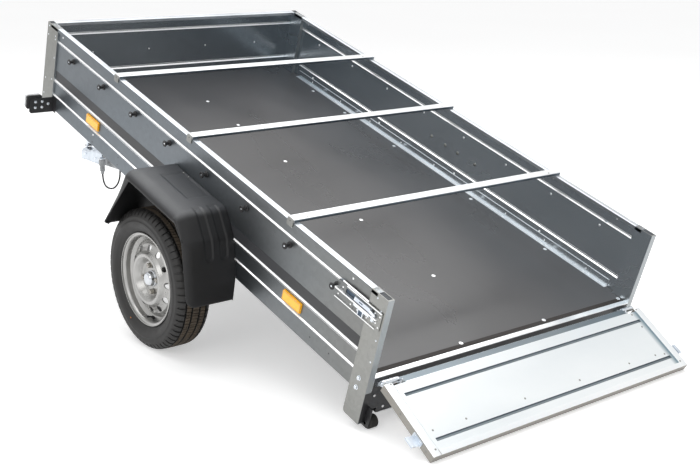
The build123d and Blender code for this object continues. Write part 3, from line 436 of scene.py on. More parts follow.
# Colours, roughness, metal, patches per metre, grain per metre, strength of the bump
finishes = {
    # wall zinc turns warmer and lighter towards the rear: a painted reflection
    "wallZinc": ((0.15, 0.172, 0.192), (0.2, 0.215, 0.23), (0.36, 0.44), 1.0, 1.6, 260, 0.04,
        dict(stretch=alongY, cells=(60, 0.05), paintedLightDrift=("Y", -0.5, -1.5, (1.2, 1.1, 0.98)))),
    # the next two: the same zinc at other levels, for faces that look another way: painted reflection and
    # shade
    "innerZinc": ((0.52, 0.58, 0.63), (0.68, 0.75, 0.8), (0.2, 0.3), 1.0, 1.6, 260, 0.04,
        dict(stretch=alongY, cells=(60, 0.05))),
    "frontZinc": ((0.26, 0.285, 0.31), (0.36, 0.4, 0.43), (0.16, 0.24), 1.0, 1.6, 260, 0.04,
        dict(stretch=(0.5, 1, 1), cells=(60, 0.05))),
    "bowZinc": ((0.68, 0.7, 0.71), (0.76, 0.775, 0.785), (0.28, 0.4), 1.0, 7, 240, 0.05,
        dict(stretch=alongY, cells=(90, 0.03))),
    # lighter copy of the zinc for the rims: painted highlight
    "rimZinc": ((0.52, 0.55, 0.58), (0.62, 0.65, 0.68), (0.28, 0.4), 1.0, 7, 240, 0.05,
        dict(stretch=alongY, cells=(90, 0.03))),
    "postZinc": ((0.27, 0.272, 0.258), (0.31, 0.312, 0.3), (0.34, 0.44), 1.0, 9, 240, 0.06,
        dict(stretch=alongZ, cells=(80, 0.06))),
    "brightZinc": ((0.86, 0.87, 0.88), (0.95, 0.95, 0.95), (0.28, 0.4), 1.0, 7, 240, 0.05,
        dict(stretch=alongY, cells=(90, 0.03))),
    # tailgate zinc darkens to a blue grey towards the right rail: painted shade
    "gateZinc": ((0.76, 0.8, 0.82), (0.84, 0.865, 0.87), (0.3, 0.4), 0.9, 3, 240, 0.03,
        dict(stretch=alongX, cells=(60, 0.02), paintedLightDrift=("X", 0.566, 0.592, (0.22, 0.31, 0.36)))),
    # lighter copy of the rail zinc for the tops of the rails: painted highlight
    "railTop": ((0.8, 0.83, 0.85), (0.87, 0.885, 0.89), (0.3, 0.4), 0.9, 3, 240, 0.03, dict(stretch=alongX)),
    # dark zinc for groove faces of the tailgate and the shaded side of the bows: painted shade
    "pressedZinc": ((0.08, 0.1, 0.12), (0.16, 0.19, 0.215), (0.3, 0.4), 1.0, 12, 240, 0.03,
        dict(stretch=alongX)),
    # paler copy of the post zinc for the posts' rear faces: painted reflection
    "sideZinc": ((0.3, 0.32, 0.33), (0.38, 0.4, 0.41), (0.34, 0.44), 1.0, 9, 240, 0.06, dict(stretch=alongZ)),
    # darker zinc for the leaning strip and one wall of each groove: painted shade
    "slantZinc": ((0.16, 0.19, 0.21), (0.25, 0.285, 0.305), (0.3, 0.4), 1.0, 4, 240, 0.03,
        dict(stretch=alongX)),
    "hardwareZinc": ((0.6, 0.64, 0.69), (0.8, 0.83, 0.86), (0.18, 0.3), 1.0, 40, 500, 0.05, {}),
    "frameZinc": ((0.3, 0.31, 0.32), (0.42, 0.43, 0.44), (0.42, 0.6), 1.0, 14, 200, 0.25,
        dict(depth=0.0006, cells=(80, 0.12))),
    "filmBoard": ((0.032, 0.031, 0.032), (0.055, 0.053, 0.055), (0.26, 0.38), 0.0, 2.6, 420, 0.12,
        dict(stretch=(1, 0.35, 1), depth=0.0003, coat=0.12, patchDetail=8.0)),
    "boardEdge": ((0.013, 0.01, 0.009), (0.026, 0.02, 0.017), (0.7, 0.85), 0.0, 30, 300, 0.4,
        dict(stretch=(1, 1, 14))),
    "stripeFilm": ((0.028, 0.029, 0.032), (0.042, 0.043, 0.047), (0.4, 0.5), 0.0, 8, 300, 0.05,
        dict(stretch=(1, 0.4, 1))),
    # mudguard plastic: paler on the faces that look up, a painted sheen
    "guardPlastic": ((0.0075, 0.0075, 0.008), (0.012, 0.012, 0.013), (0.4, 0.5), 0.0, 7, 900, 0.4,
        dict(depth=0.0003, specular=0.4, paintedSheen=(0.062, 0.065, 0.07))),
    # lighter plastic for the rim of the mudguard shell: painted highlight
    "guardEdge": ((0.07, 0.07, 0.073), (0.1, 0.1, 0.104), (0.4, 0.5), 0.0, 7, 900, 0.3, dict(depth=0.0003)),
    "blackPlastic": ((0.009, 0.009, 0.01), (0.016, 0.016, 0.017), (0.3, 0.42), 0.0, 30, 700, 0.2, {}),
    "capPlastic": ((0.02, 0.026, 0.034), (0.035, 0.042, 0.052), (0.4, 0.5), 0.0, 40, 600, 0.3, {}),
    "blackPaint": ((0.012, 0.012, 0.013), (0.02, 0.02, 0.022), (0.35, 0.5), 0.0, 18, 420, 0.3,
        dict(depth=0.0005)),
    "treadRubber": ((0.009, 0.0085, 0.0085), (0.017, 0.016, 0.015), (0.5, 0.62), 0.0, 24, 500, 0.35, {}),
    "groundRubber": ((0.02, 0.019, 0.018), (0.035, 0.033, 0.03), (0.7, 0.85), 0.0, 30, 400, 0.4, {}),
    "wheelSilver": ((0.34, 0.337, 0.327), (0.42, 0.416, 0.405), (0.26, 0.34), 0.75, 16, 900, 0.12,
        dict(depth=0.0002, coat=0.3)),
    "boltSteel": ((0.3, 0.28, 0.25), (0.42, 0.4, 0.36), (0.22, 0.34), 1.0, 40, 500, 0.1, {}),
    "capChrome": ((0.5, 0.52, 0.55), (0.62, 0.64, 0.67), (0.05, 0.12), 1.0, 30, 500, 0.02, {}),
    "hubSteel": ((0.2, 0.19, 0.18), (0.36, 0.35, 0.34), (0.4, 0.6), 1.0, 30, 300, 0.3, {}),
    "plugGrey": ((0.3, 0.31, 0.32), (0.42, 0.43, 0.44), (0.4, 0.5), 0.0, 40, 500, 0.15, {}),
    "leadRubber": ((0.012, 0.012, 0.013), (0.022, 0.022, 0.023), (0.5, 0.62), 0.0, 50, 400, 0.2, {}),
    "railZinc": ((0.29, 0.275, 0.25), (0.36, 0.345, 0.32), (0.4, 0.5), 0.8, 9, 240, 0.05, {}),
    "catchZinc": ((0.55, 0.6, 0.66), (0.72, 0.77, 0.83), (0.3, 0.42), 0.9, 30, 400, 0.08, {}),
    "steelBlue": ((0.04, 0.055, 0.08), (0.09, 0.13, 0.18), (0.25, 0.4), 0.8, 40, 400, 0.1, {}),
    "boardPaint": ((0.018, 0.02, 0.023), (0.03, 0.034, 0.038), (0.35, 0.5), 0.0, 9, 420, 0.3,
        dict(depth=0.0005)),
    "amberDot": ((0.5, 0.16, 0.02), (0.62, 0.22, 0.03), (0.6, 0.7), 0.0, 60, 300, 0.1, {}),
    "soilFilm": ((0.05, 0.038, 0.027), (0.13, 0.1, 0.07), (0.75, 0.9), 0.0, 30, 300, 0.4, {}),
}
for name, (deep, pale, *values, options) in finishes.items():
    newFinish(name, (deep, pale), *values, **options)


def newLens(name, colour, pitch, clear=0.0, glow=0.0):
    # moulded lens: prisms in the bump, glossy outer skin; a glow is painted light in the lens colour
    tree, shader = newMaterial(name)[1:]
    where = addNode(tree, "TexCoord").outputs["Object"]
    prism = addNode(tree, "TexVoronoi", {"Scale": pitch, "Randomness": 0.0, "Vector": where},
        distance="CHEBYCHEV")
    prism = prism.outputs["Distance"]
    shade = addRamp(tree, prism, (0, 1), (colour, [c * 0.72 for c in colour]))
    press = addNode(tree, "Bump", {"Strength": 0.5, "Distance": 0.0008, "Height": prism})
    setInputs(tree, shader, {
        "Roughness": 0.18, "Coat Weight": 0.6, "Transmission Weight": clear, "Emission Strength": glow,
        "Base Color": shade, "Normal": press.outputs["Normal"],
    })
    if glow:
        setInputs(tree, shader, {"Emission Color": shade})


# the amber lenses of the reflectors and rear lamps glow faintly: painted light standing in for what they send
# back
newLens("amberLens", (0.98, 0.47, 0.0), 260, glow=0.12)
newLens("amberPrism", (1.0, 0.62, 0.0), 170, glow=0.2)
newLens("redLens", (0.55, 0.008, 0.01), 240)
newLens("clearLens", (0.88, 0.9, 0.92), 300, clear=0.25)
print("finishes made")


# Floor, light and camera
light = {
    "sky": (1.0, 1.0, 1.0),
    "skyline": (0.62, 0.65, 0.68),
    "skyTop": 0.55,
    "skyPower": 0.62,
    "floorGlow": 0.45,
    "floorSize": 60,
    "lamps": {
        "over": {"at": (0.4, 0.6, 5.2), "size": 6.5, "power": 300.0},
        "side": {"at": (-5.5, -3.0, 3.6), "size": 3.5, "power": 80.0},
    },
}


def seenRays(tree):
    # 1 for what is seen directly, in a reflection or through glass
    path = addNode(tree, "LightPath").outputs
    last = path["Is Camera Ray"]
    for name in ("Is Glossy Ray", "Is Transmission Ray"):
        last = addNode(tree, "Math", {0: last, 1: path[name]}, operation="MAXIMUM").outputs["Value"]
    return last


def buildStage():
    bm = bmesh.new()
    bmesh.ops.create_grid(bm, x_segments=1, y_segments=1, size=light["floorSize"])
    mesh = bpy.data.meshes.new("studioFloor")
    bm.to_mesh(mesh)
    bm.free()
    pale = newFinish("paleFloor", [(0.8, 0.8, 0.8), (0.83, 0.83, 0.83)], (0.85, 0.95), 0.0, 0.4, 60, 0.02,
        specular=0.1)
    tree = pale.node_tree
    glow = addNode(tree, "Math", {0: seenRays(tree), 1: light["floorGlow"]}, operation="MULTIPLY")
    setInputs(tree, tree.nodes["Principled BSDF"], {
        "Emission Strength": glow.outputs["Value"], "Emission Color": (1, 1, 1, 1),
    })
    mesh.materials.append(pale)
    newObject("studioFloor", mesh)


def buildLight():
    world = bpy.data.worlds.new("studio")
    bpy.context.scene.world = world
    world.use_nodes = True
    tree = world.node_tree
    where = addNode(tree, "TexCoord").outputs["Generated"]
    height = addNode(tree, "SeparateXYZ", {"Vector": where}).outputs["Z"]
    sky = addRamp(tree, height, (0, light["skyTop"]), (light["skyline"], light["sky"]))
    back = setInputs(tree, tree.nodes["Background"], {"Strength": light["skyPower"], "Color": sky})
    plain = addNode(tree, "Background", {"Color": (1, 1, 1, 1)})
    choice = addNode(tree, "MixShader", {"Fac": seenRays(tree), 1: back.outputs[0], 2: plain.outputs[0]})
    setInputs(tree, tree.nodes["World Output"], {"Surface": choice.outputs["Shader"]})
    for name, values in light["lamps"].items():
        lamp = bpy.data.lights.new(name + "Lamp", "AREA")
        lamp.size, lamp.energy = values["size"], values["power"]
        holder = newObject(name + "Lamp", lamp)
        holder.location = values["at"]
        holder.rotation_euler = Vector(values["at"]).to_track_quat("Z", "Y").to_euler()


view = {"lens": 61.08, "sensor": 36, "at": (-2.8917, -4.0303, 1.5505), "turn": (75.41, -0.6842, -39.4163)}


def buildCamera():
    lens = bpy.data.cameras.new("viewCamera")
    lens.lens, lens.sensor_width = view["lens"], view["sensor"]
    camera = newObject("viewCamera", lens)
    camera.location = view["at"]
    camera.rotation_euler = [radians(a) for a in view["turn"]]
    bpy.context.scene.camera = camera


buildStage()
buildLight()
buildCamera()
bpy.context.scene.view_settings.view_transform = "Standard"
print("stage, light and camera set")


# Side walls: pressed sheet with three beads, folded rim on top and a foot along the lower edge
wall = {
    "beads": ((58.0, 6.0), (231.5, 7.0), (296.0, 4.5)),
    "rise": 5.0,
    "foot": 30.0,
    "rimWidth": 25.0,
    "rimLip": 14.0,
    "rimSheet": 2.0,
    "frontPost": 92.0,
    "rearPost": 80.0,
    "frontCap": 30.0,
    "rearCap": 50.0,
    "stripe": (184.0, 223.0),
    "stripeEnds": (85.0, 96.0),
    "holes": ((693, -349, 3.2), (477, -315, 3.2), (478, -348, 3.2), (-839, -331, 3.2), (-943, -328, 3.2)),
    "rivets": ((691, -316), (-975, -24), (-640, -22), (1020, -24), (300, -349), (0, -349), (-300, -349)),
    "rimScrews": (-976.0, -400.0, 320.0, 1074.0),
    "angleScrew": 34.0,
    "frontRivets": (-430, -150, 150, 430),
    "frontRivetDepth": 150.0,
}

# Tarpaulin spools along both sides
spool = {"count": 8, "end": 240.0, "depth": 86.0}


def spoolPlaces():
    pitch = (bed["front"] - bed["rear"] - 2 * spool["end"]) / (spool["count"] - 1)
    return [bed["middle"] + (k - (spool["count"] - 1) / 2) * pitch for k in range(spool["count"])]


def wallOutline(beads, edge, side):
    # section of a wall, from its upper end down to the foot; side is the way that leads inwards
    inset, pressed, foot = bed["wallIn"], bed["wallIn"] - wall["rise"], bed["base"] + bed["sheet"] / 2
    points = [(inset, bed["rim"] - wall["rimSheet"])]
    for depth, half in beads:
        z = bed["rim"] - depth
        points += [(inset, z + half, 2.5), (pressed, z + half / 3, 2.0), (pressed, z - half / 3, 2.0),
            (inset, z - half, 2.5)]
    points += [(inset, foot, 3.0), (inset + wall["foot"], foot)]
    line = [Vector((edge + side * p.x, p.y)) for p in curvedCorners(points, 3)]
    return thickened(line, side * bed["sheet"])


def paintWall(bm, beads, axis, side):
    # painted highlight: the sloping faces of the beads take the bright zinc; the faces that look inward take
    # a lighter copy of the zinc (painted reflection), the outer faces the darker one
    def choose(c, n, slot):
        onBead = any(abs(c.z - (bed["rim"] - depth)) < half + 0.4 for depth, half in beads)
        return 2 if onBead and abs(n.z) > 0.12 else int(n[axis] * side > 0)
    paintFaces(bm, choose)


def addRim(bm, axis, edge, side, start, end, slot):
    # folded rim: flat top with a lip down each side
    top, low, inner = bed["rim"], bed["rim"] - wall["rimLip"], edge + side * wall["rimWidth"]
    outline = bent([(edge, low), (edge, top, 3.0), (inner, top, 3.0), (inner, low)], -side * wall["rimSheet"])
    addRun(bm, axis, outline, start, end, slot)


def buildSideWall(name, mirrored):
    bm = bmesh.new()
    middle, top = bed["middle"], bed["rim"]
    front, rear = bed["front"] - wall["frontPost"], bed["rear"] + wall["rearPost"]
    outline = wallOutline(wall["beads"], -bed["half"], 1)
    stations = [rear, (rear + front) / 2, front]
    for a, b in zip(stations, stations[1:]):
        addRun(bm, "y", outline, a, b, 0, caps=False)
    bmesh.ops.remove_doubles(bm, verts=bm.verts[:], dist=0.01)
    bmesh.ops.holes_fill(bm, edges=[e for e in bm.edges if e.is_boundary], sides=0)
    paintWall(bm, wall["beads"], 0, 1)
    addRim(bm, "y", -bed["half"], 1, bed["rear"] + wall["rearCap"], bed["front"] - wall["frontCap"], 4)
    # painted highlight: the rim's top and inner lip keep the lighter rim zinc, and its outer lip goes back to
    # the wall's darker zinc
    paintFaces(bm, lambda c, n, slot: 0 if slot == 4 and n.x < -0.7 else None)
    for y, z in wall["rivets"]:
        addBolt(bm, (wallFace, middle + y, top + z), leftward, 4.2, 2)
        addBolt(bm, (innerFace, middle + y, top + z), rightward, 3.6, 2)
    for y, z, r in wall["holes"]:
        addRod(bm, "x", r, (middle + y, top + z), wallFace - 0.15, innerFace + 0.15, 12, 3)
    # screws of the spools and of the edge angles, on the inner face
    for k, y in enumerate(spoolPlaces()):
        addBolt(bm, (innerFace, y, top - spool["depth"]), rightward, 4.6, 2)
        if k % 2:
            addBolt(bm, (innerFace, y, bed["floor"] + wall["angleScrew"]), rightward, 5.0, 2)
    for y in wall["rimScrews"]:
        addBolt(bm, (-bed["half"] + 9, y, top), upward, 3.2, 2, "flat")
    finishPiece(bm, name, "wallZinc innerZinc brightZinc blackPlastic rimZinc", 0.35, 1,
        mirrored=mirrored)


def buildFrontWall():
    bm = bmesh.new()
    side, face, beads = bed["half"] - wall["rimWidth"], bed["front"] - bed["wallIn"], wall["beads"][:2]
    addRun(bm, "x", wallOutline(beads, bed["front"], -1), -side, side)
    paintWall(bm, beads, 1, -1)
    # the rim takes the lighter rim zinc: a painted highlight
    addRim(bm, "x", bed["front"], -1, -side, side, 3)
    z = bed["rim"] - wall["frontRivetDepth"]
    for x in wall["frontRivets"]:
        addBolt(bm, (x, face - bed["sheet"], z), rearward, 3.6, 2)
        addBolt(bm, (x, face, z), forward, 3.6, 2)
    finishPiece(bm, "front_wall", "wallZinc frontZinc brightZinc rimZinc", 0.35, 1)


# Dark strip along each side, bare
def buildStripes():
    bm = bmesh.new()
    top, low = (bed["rim"] - d for d in wall["stripe"])
    rearEnd, frontEnd = bed["rear"] + wall["stripeEnds"][0], bed["front"] - wall["stripeEnds"][1]
    outline = oblong(bed["rear"] + 31, frontEnd, low, top, 4)
    addRun(bm, "x", [(max(y, rearEnd), z) for y, z in outline], wallFace - 0.35, wallFace + 0.1)
    addMirror(bm)
    finishPiece(bm, "sideStripes", "stripeFilm", smooth=False)


# Corner posts: oblong tubes, their tops closed by black caps set inside the metal
post = {
    "width": 25.0,
    "wall": 2.6,
    "frontDepth": 350.0,
    "rearDepth": 464.0,
    "corner": 12.0,
    "rearCapIn": 3.0,
    "pocket": 14.0,
    "capDepth": (13.0, 1.2),
    "capRibs": 5,
    "frontRivets": ((14, -14), (14, -52), (76, -38), (77, -52), (80, -133), (74, -232), (20, -246),
        (16, -318)),
    "rearRivets": ((20, -49), (17, -68), (40, -62), (47, -16), (12, -150), (12, -230)),
    "rearBolts": ((-1107, -311), (-1104, -348)),
    "roller": (-1101.0, 83.0),
    "tab": (16.0, 44.0, 14.0, 62.0),
    "tabThick": 5.0,
    "footPlate": (4.0, 118.0),
    "pin": 43.0,
}


def buildPost(name, rear, front, low, corner, capLength, capRear, marks, bolts, mirrored):
    bm = bmesh.new()
    out, width, top, w = -bed["half"], post["width"], bed["rim"], post["wall"]
    # flat tube with a pocket in its top where the cap sits
    outline = loopCorners([(front, top), (rear, top), (rear, low), (front, low, corner)], 6)
    addRun(bm, "x", outline, out, out + width)
    pocket = bmesh.new()
    addBlock(pocket, out + w, out + width - w, capRear + w, capRear + capLength - w, top - post["pocket"],
        top + 5)
    cutAway(bm, pocket)
    # painted reflection: the face that looks inward takes the lighter inner zinc and the rear face a paler
    # side zinc, lit copies of the post's zinc
    for face in bm.faces:
        if face.normal.x > 0.5:
            face.material_index = 3
        elif face.normal.y < -0.5:
            face.material_index = 4
    for dy, dz in marks:
        addBolt(bm, (out, rear + dy, top + dz), leftward, 3.4, 1)
    for y, z in bolts:
        addBolt(bm, (out, bed["middle"] + y, top + z), leftward, 7.0, 1, "hex")
    if corner:
        # tab that carries the roller, dark plate up the back of the foot, and the pin
        (y, z), (back, ahead, under, over) = post["roller"], post["tab"]
        tabIn, thick = out + width, post["tabThick"]
        ring = [(y - back, z - under, 8), (y + ahead, z - under, 8), (y + ahead, z + over, 4),
            (y - back, z + over, 4)]
        addRun(bm, "x", loopCorners(ring), tabIn, tabIn + thick, 2)
        addBlock(bm, out + 1, tabIn + thick, rear - 0.8, rear, low + post["footPlate"][0],
            low + post["footPlate"][1], 2)
        addRod(bm, "x", 6, (y, z), tabIn, tabIn + post["pin"], 20, 1)
        addBolt(bm, (tabIn + post["pin"], y, z), rightward, 6.5, 1)
    finishPiece(bm, name, "postZinc hardwareZinc blackPaint innerZinc sideZinc", 0.8,
        mirrored=mirrored)


def buildPosts():
    rear, front, rim = bed["rear"], bed["front"], bed["rim"]
    caps = ((front - wall["frontCap"], wall["frontCap"]), (rear + post["rearCapIn"], wall["rearCap"]))
    for side, tail in sides:
        marks = [(wall["frontPost"] - a, z) for a, z in post["frontRivets"]]
        buildPost("front_post_" + tail, front - wall["frontPost"], front, rim - post["frontDepth"], 0,
            caps[0][1], caps[0][0], marks, (), side > 0)
        buildPost("rear_post_" + tail, rear, rear + wall["rearPost"], rim - post["rearDepth"], post["corner"],
            caps[1][1], caps[1][0], post["rearRivets"], post["rearBolts"], side > 0)
    bm = bmesh.new()
    w = post["wall"]
    x0, x1 = -bed["half"] + w, -bed["half"] + post["width"] - w
    for start, length in caps:
        y0, y1 = start + w, start + length - w
        addRun(bm, "z", oblong(x0, x1, y0, y1, 1.5, 2), rim - post["capDepth"][0], rim - post["capDepth"][1])
        for k in range(post["capRibs"]):
            y = y0 + (y1 - y0) * (k + 0.5) / post["capRibs"]
            addBlock(bm, x0 + 2, x1 - 2, y - 0.8, y + 0.8, rim - 1.4, rim - 0.5)
    addMirror(bm)
    finishPiece(bm, "post_caps", "capPlastic", 0.5)


for side, tail in sides:
    buildSideWall("side_wall_" + tail, side > 0)
buildFrontWall()
buildStripes()
buildPosts()
print("walls and posts built")


# Floor board with its bolts, and the bright angles along its edges
floorBoard = {
    "side": 640.5,
    "front": 1194.5,
    "rearIn": 22.0,
    "thick": 12.0,
    "film": 0.5,
    "edgeShadeStrip": 18.0,
    "bolts": (
        (0, -728), (608, -727), (-608, -727), (197, -1111), (-210, -1106), (612, -1112), (-612, -1112),
        (604, 225), (-604, 225), (0, -294), (603, -292), (-603, -292), (0, 587), (600, 587), (-600, 587),
            (0, 225),
        (0, 840), (600, 840), (-600, 840),
    ),
}
edgeAngle = {"high": 29.0, "wide": 19.0, "thick": 3.0, "end": 40.0, "rivets": 9, "riser": (4.0, 27.0)}


def buildFloor():
    bm = bmesh.new()
    s, top = floorBoard["side"], bed["floor"]
    notch = bed["half"] - post["width"] - 1
    rear, front = bed["rear"] + floorBoard["rearIn"], floorBoard["front"]
    rearPost, frontPost = bed["rear"] + wall["rearPost"], bed["front"] - wall["frontPost"]
    half = [(notch, rear), (notch, rearPost + 1), (s, rearPost + 1), (s, frontPost - 1),
        (notch, frontPost - 1), (notch, front)]
    outline = [(-notch, rear)] + half + [(-x, y) for x, y in half[:0:-1]]
    addRun(bm, "z", outline, top - floorBoard["thick"], top - floorBoard["film"], 1)
    addRun(bm, "z", outline, top - floorBoard["film"] - 0.1, top, 0)
    # dark strip on the board along the rear, in the board's edge finish: painted shade of the gap at its edge
    addBlock(bm, -notch, notch, rear, rear + floorBoard["edgeShadeStrip"], top - 0.1, top + 0.25, 1)
    for x, y in floorBoard["bolts"]:
        addBolt(bm, (x, bed["middle"] + y, top), upward, 8.0, 2, "flat")
    finishPiece(bm, "floor_board", "filmBoard boardEdge brightZinc", 0.4, 1)

    bm = bmesh.new()
    thick, count, x = edgeAngle["thick"], edgeAngle["rivets"], innerFace
    y0, y1 = rearPost + edgeAngle["end"], frontPost - edgeAngle["end"]
    angle = bent([(x, top + edgeAngle["high"]), (x, top - thick, 3.0), (x + edgeAngle["wide"], top - thick)],
        thick, 3)
    addRun(bm, "y", [(a, b + 0.12) for a, b in angle], y0, y1)
    for k in range(count):
        y = y0 + (y1 - y0) * (k + 0.5) / count
        addBolt(bm, (x + 3, y, top + 15), rightward, 3.6)
        addBolt(bm, (x + 11, y, top), upward, 3.6)
    # painted shade: the upright faces of the angle take the darker inner zinc, the rest the bright zinc
    low, high = (top + z for z in edgeAngle["riser"])
    for face in bm.faces:
        if low < face.calc_center_median().z < high and abs(face.normal.x) > 0.8:
            face.material_index = 1
    addMirror(bm)
    finishPiece(bm, "edge_angles", "brightZinc innerZinc", 0.4, 1)


# Cross bows lying on the rims, a hook with a bolt at each end
bow = {"width": 36.0, "height": 12.0, "places": (545.0, -4.0, -639.0), "hook": 18.0, "hookThick": 3.4,
    "wall": 2.0, "bolt": 60.0}


def buildBows():
    bm = bmesh.new()
    top, half, width, height, wide = bed["rim"], bed["half"], bow["width"], bow["height"], 2 * bow["wall"]
    for place in bow["places"]:
        y0 = bed["middle"] + place - width / 2
        y1 = y0 + width
        outer = oblong(y0, y1, top, top + height, 3, 3)
        middle = Vector(((y0 + y1) / 2, top + height / 2))
        inner = [middle + Vector(((p.x - middle.x) * (1 - wide / width),
            (p.y - middle.y) * (1 - wide / height))) for p in outer]
        first = len(bm.faces)
        addPipe(bm, "x", outer, inner, -half, half)
        # the side that looks back stands in its own shade
        bm.faces.ensure_lookup_table()
        for k in range(len(outer)):
            if max(outer[k].x, outer[(k + 1) % len(outer)].x) < y0 + 1:
                bm.faces[first + k].material_index = 3
        for side in (-1, 1):
            x = side * half
            out = x + side * bow["hookThick"]
            low, high = top - bow["hook"], top + height - 2
            end = loopCorners([(y0 + 2, low, 5), (y1 - 2, low, 5), (y1 - 2, high, 4), (y0 + 2, high, 4)], 3)
            addRun(bm, "x", end, min(x, out), max(x, out), 1)
            addBolt(bm, (out, (y0 + y1) / 2, top + 2), (side, 0, 0), 1.9, 2, "flat")
            addBolt(bm, (side * (half - bow["bolt"]), y0 + 10, top + height), upward, 3.5, 1)
    finishPiece(bm, "cross_bows", "bowZinc postZinc blackPlastic pressedZinc", 0.35, 1)


buildFloor()
buildBows()
print("floor and bows built")


# Mudguards: a shell along an angular arch, its outer side rounded over into a narrow lip
guard = {
    "centre": -45.0,
    "low": 115.0,
    "outer": ((-332.5, 115), (-252, 322, 60), (-176, 402, 44), (187, 402, 36), (212, 324, 60), (296.9, 115)),
    "opening": ((-325.3, 115), (-236, 325, 14), (-180, 371, 14), (143, 371, 8), (169, 324, 1), (284.9, 115)),
    "round": 54.0,
    "legRound": 32.0,
    "deep": 32.0,
    "thick": 4.6,
    "stretches": (44, 22, 74, 16, 44),
    "across": (53, 3.55),
    "roundSteps": 10,
    "faceSteps": 3,
    "lip": 3.0,
    "panel": (-85.0, 105.0, 10.0, 101.0, 2.6),
    "flutes": ((30.0, 62.0), (91.0, 123.0)),
    "fluteFront": -146.0,
    "fluteLow": 252.0,
    "fluteDeep": 3.0,
    "fluteRound": 15.0,
    "footRound": 28.0,
    "footInset": 20.0,
    "footTaper": 90.0,
    "screws": ((-130, -20, 60, 150), 380.0),
    "topScrews": ((62, 96), 402.0),
}


def alongLine(points, count):
    # even stations along a line, with the share of its length at each
    lengths = [0]
    for a, b in zip(points, points[1:]):
        lengths.append(lengths[-1] + (b - a).length)
    result = []
    for k in range(count + 1):
        want = lengths[-1] * k / count
        i = max(j for j in range(len(points) - 1) if lengths[j] <= want + 1e-9)
        step = max(1e-6, lengths[i + 1] - lengths[i])
        t = min(1, (want - lengths[i]) / step)
        result.append(points[i].lerp(points[i + 1], t))
    return result


def ease(value, low, high):
    t = min(1, max(0, (value - low) / (high - low)))
    return t * t * (3 - 2 * t)


def window(value, low, high, soft):
    return ease(value, low - soft / 2, low + soft / 2) * (1 - ease(value, high - soft / 2, high + soft / 2))


def stretched(outline):
    # the line cut at its corners, each stretch in as many steps as the same stretch of the other outline
    arc = curvedCorners(outline, 8)
    cuts = [0] + [min(range(len(arc)), key=lambda i: (arc[i] - Vector(p[:2])).length)
        for p in outline[1:-1]] + [len(arc) - 1]
    line = []
    for k, count in enumerate(guard["stretches"]):
        line += alongLine(arc[cuts[k]:cuts[k + 1] + 1], count)[(1 if k else 0):]
    return line


def pressedDepth(p, up, reach):
    # how deep the panel on top and the flutes on the front leg are pressed at a point
    press = 0.0
    rear, front, near, far, deep = guard["panel"]
    if up > 0.9:
        press = deep * window(p.x, rear, front, 9) * window(reach, near, far, 7)
    radius, flutesEnd = guard["fluteRound"], guard["fluteFront"]
    for near, far in guard["flutes"]:
        if p.x < flutesEnd + 4:
            off = reach - (near + far) / 2
            lowEnd = guard["fluteLow"] + 7 - 7 * (1 - (off / radius) ** 2 if abs(off) < radius else 0)
            ends = ease(p.y, lowEnd, lowEnd + 5) * (1 - ease(p.x, flutesEnd - 5, flutesEnd + 1))
            press = max(press, guard["fluteDeep"] * window(reach, near, far, 4.5) * ends)
    return press


def guardRow(p, q, way, across, xIn, xOut):
    # one section of the shell, from the wall over the outer edge to the lip round the opening
    normal = Vector((-way.y, way.x))
    row = [(x, p - normal * pressedDepth(p, normal.y, xIn - x)) for x in across]
    # broad rounding on top, narrow on the legs, never deeper than the face beside the opening
    deep = min(guard["deep"], 0.94 * max(2.0, (p - q).dot(normal)))
    wide = guard["round"] - (guard["round"] - guard["legRound"]) * (1 - max(0, normal.y))
    steps, faceSteps = guard["roundSteps"], guard["faceSteps"]
    for k in range(1, steps + 1):
        x = xOut + guard["round"] * (1 - sin(pi / 2 * k / steps))
        u = max(0, (xOut + wide - x) / wide)
        row.append((x, p - normal * (deep * (1 - (1 - u * u) ** 0.5))))
    turned = p - normal * deep
    row += [(xOut + 0.02 * k, turned.lerp(q, k / faceSteps)) for k in range(1, faceSteps + 1)]
    row.append((xOut + guard["lip"], q + (q - p).normalized() * 0.5))
    return [(x, guard["centre"] + s.x, s.y) for x, s in row]


def buildGuard(name, mirrored):
    bm = bmesh.new()
    outer, opening = stretched(guard["outer"]), stretched(guard["opening"])
    xIn, xOut, r = wallFace, -stand["halfWidth"], guard["round"]
    count, step = guard["across"]
    across = [x for x in (xIn - k * step for k in range(count)) if x > xOut + r + 1] + [xOut + r]
    rows = []
    for i, (p, q) in enumerate(zip(outer, opening)):
        way = (outer[min(i + 1, len(outer) - 1)] - outer[max(i - 1, 0)]).normalized()
        rows.append([bm.verts.new(c) for c in guardRow(p, q, way, across, xIn, xOut)])
    for one, two in zip(rows, rows[1:]):
        for k in range(len(one) - 1):
            bm.faces.new((one[k], one[k + 1], two[k + 1], two[k]))
    # lower ends: rounded outside, drawn in from the wall inside
    low, foot, taper = guard["low"], guard["footRound"], guard["footTaper"]
    for v in bm.verts:
        up = max(0, v.co.z - low)
        if up < foot:
            v.co.x = max(v.co.x, xOut + foot - (foot ** 2 - (foot - up) ** 2) ** 0.5)
        if up < taper:
            v.co.x = min(v.co.x, xIn - guard["footInset"] * (1 - up / taper))
    # the inner edge keeps to the face of the pressed wall
    for row in rows:
        v = row[0]
        for depth, half in wall["beads"]:
            gap = abs(v.co.z - (bed["rim"] - depth))
            v.co.x -= wall["rise"] * (1 - ease(gap, half / 3, half + 1))
    bmesh.ops.recalc_face_normals(bm, faces=bm.faces[:])
    if sum(f.normal.z * f.calc_area() for f in bm.faces) < 0:
        bmesh.ops.reverse_faces(bm, faces=bm.faces[:])
    return finishShell(bm, name, mirrored)


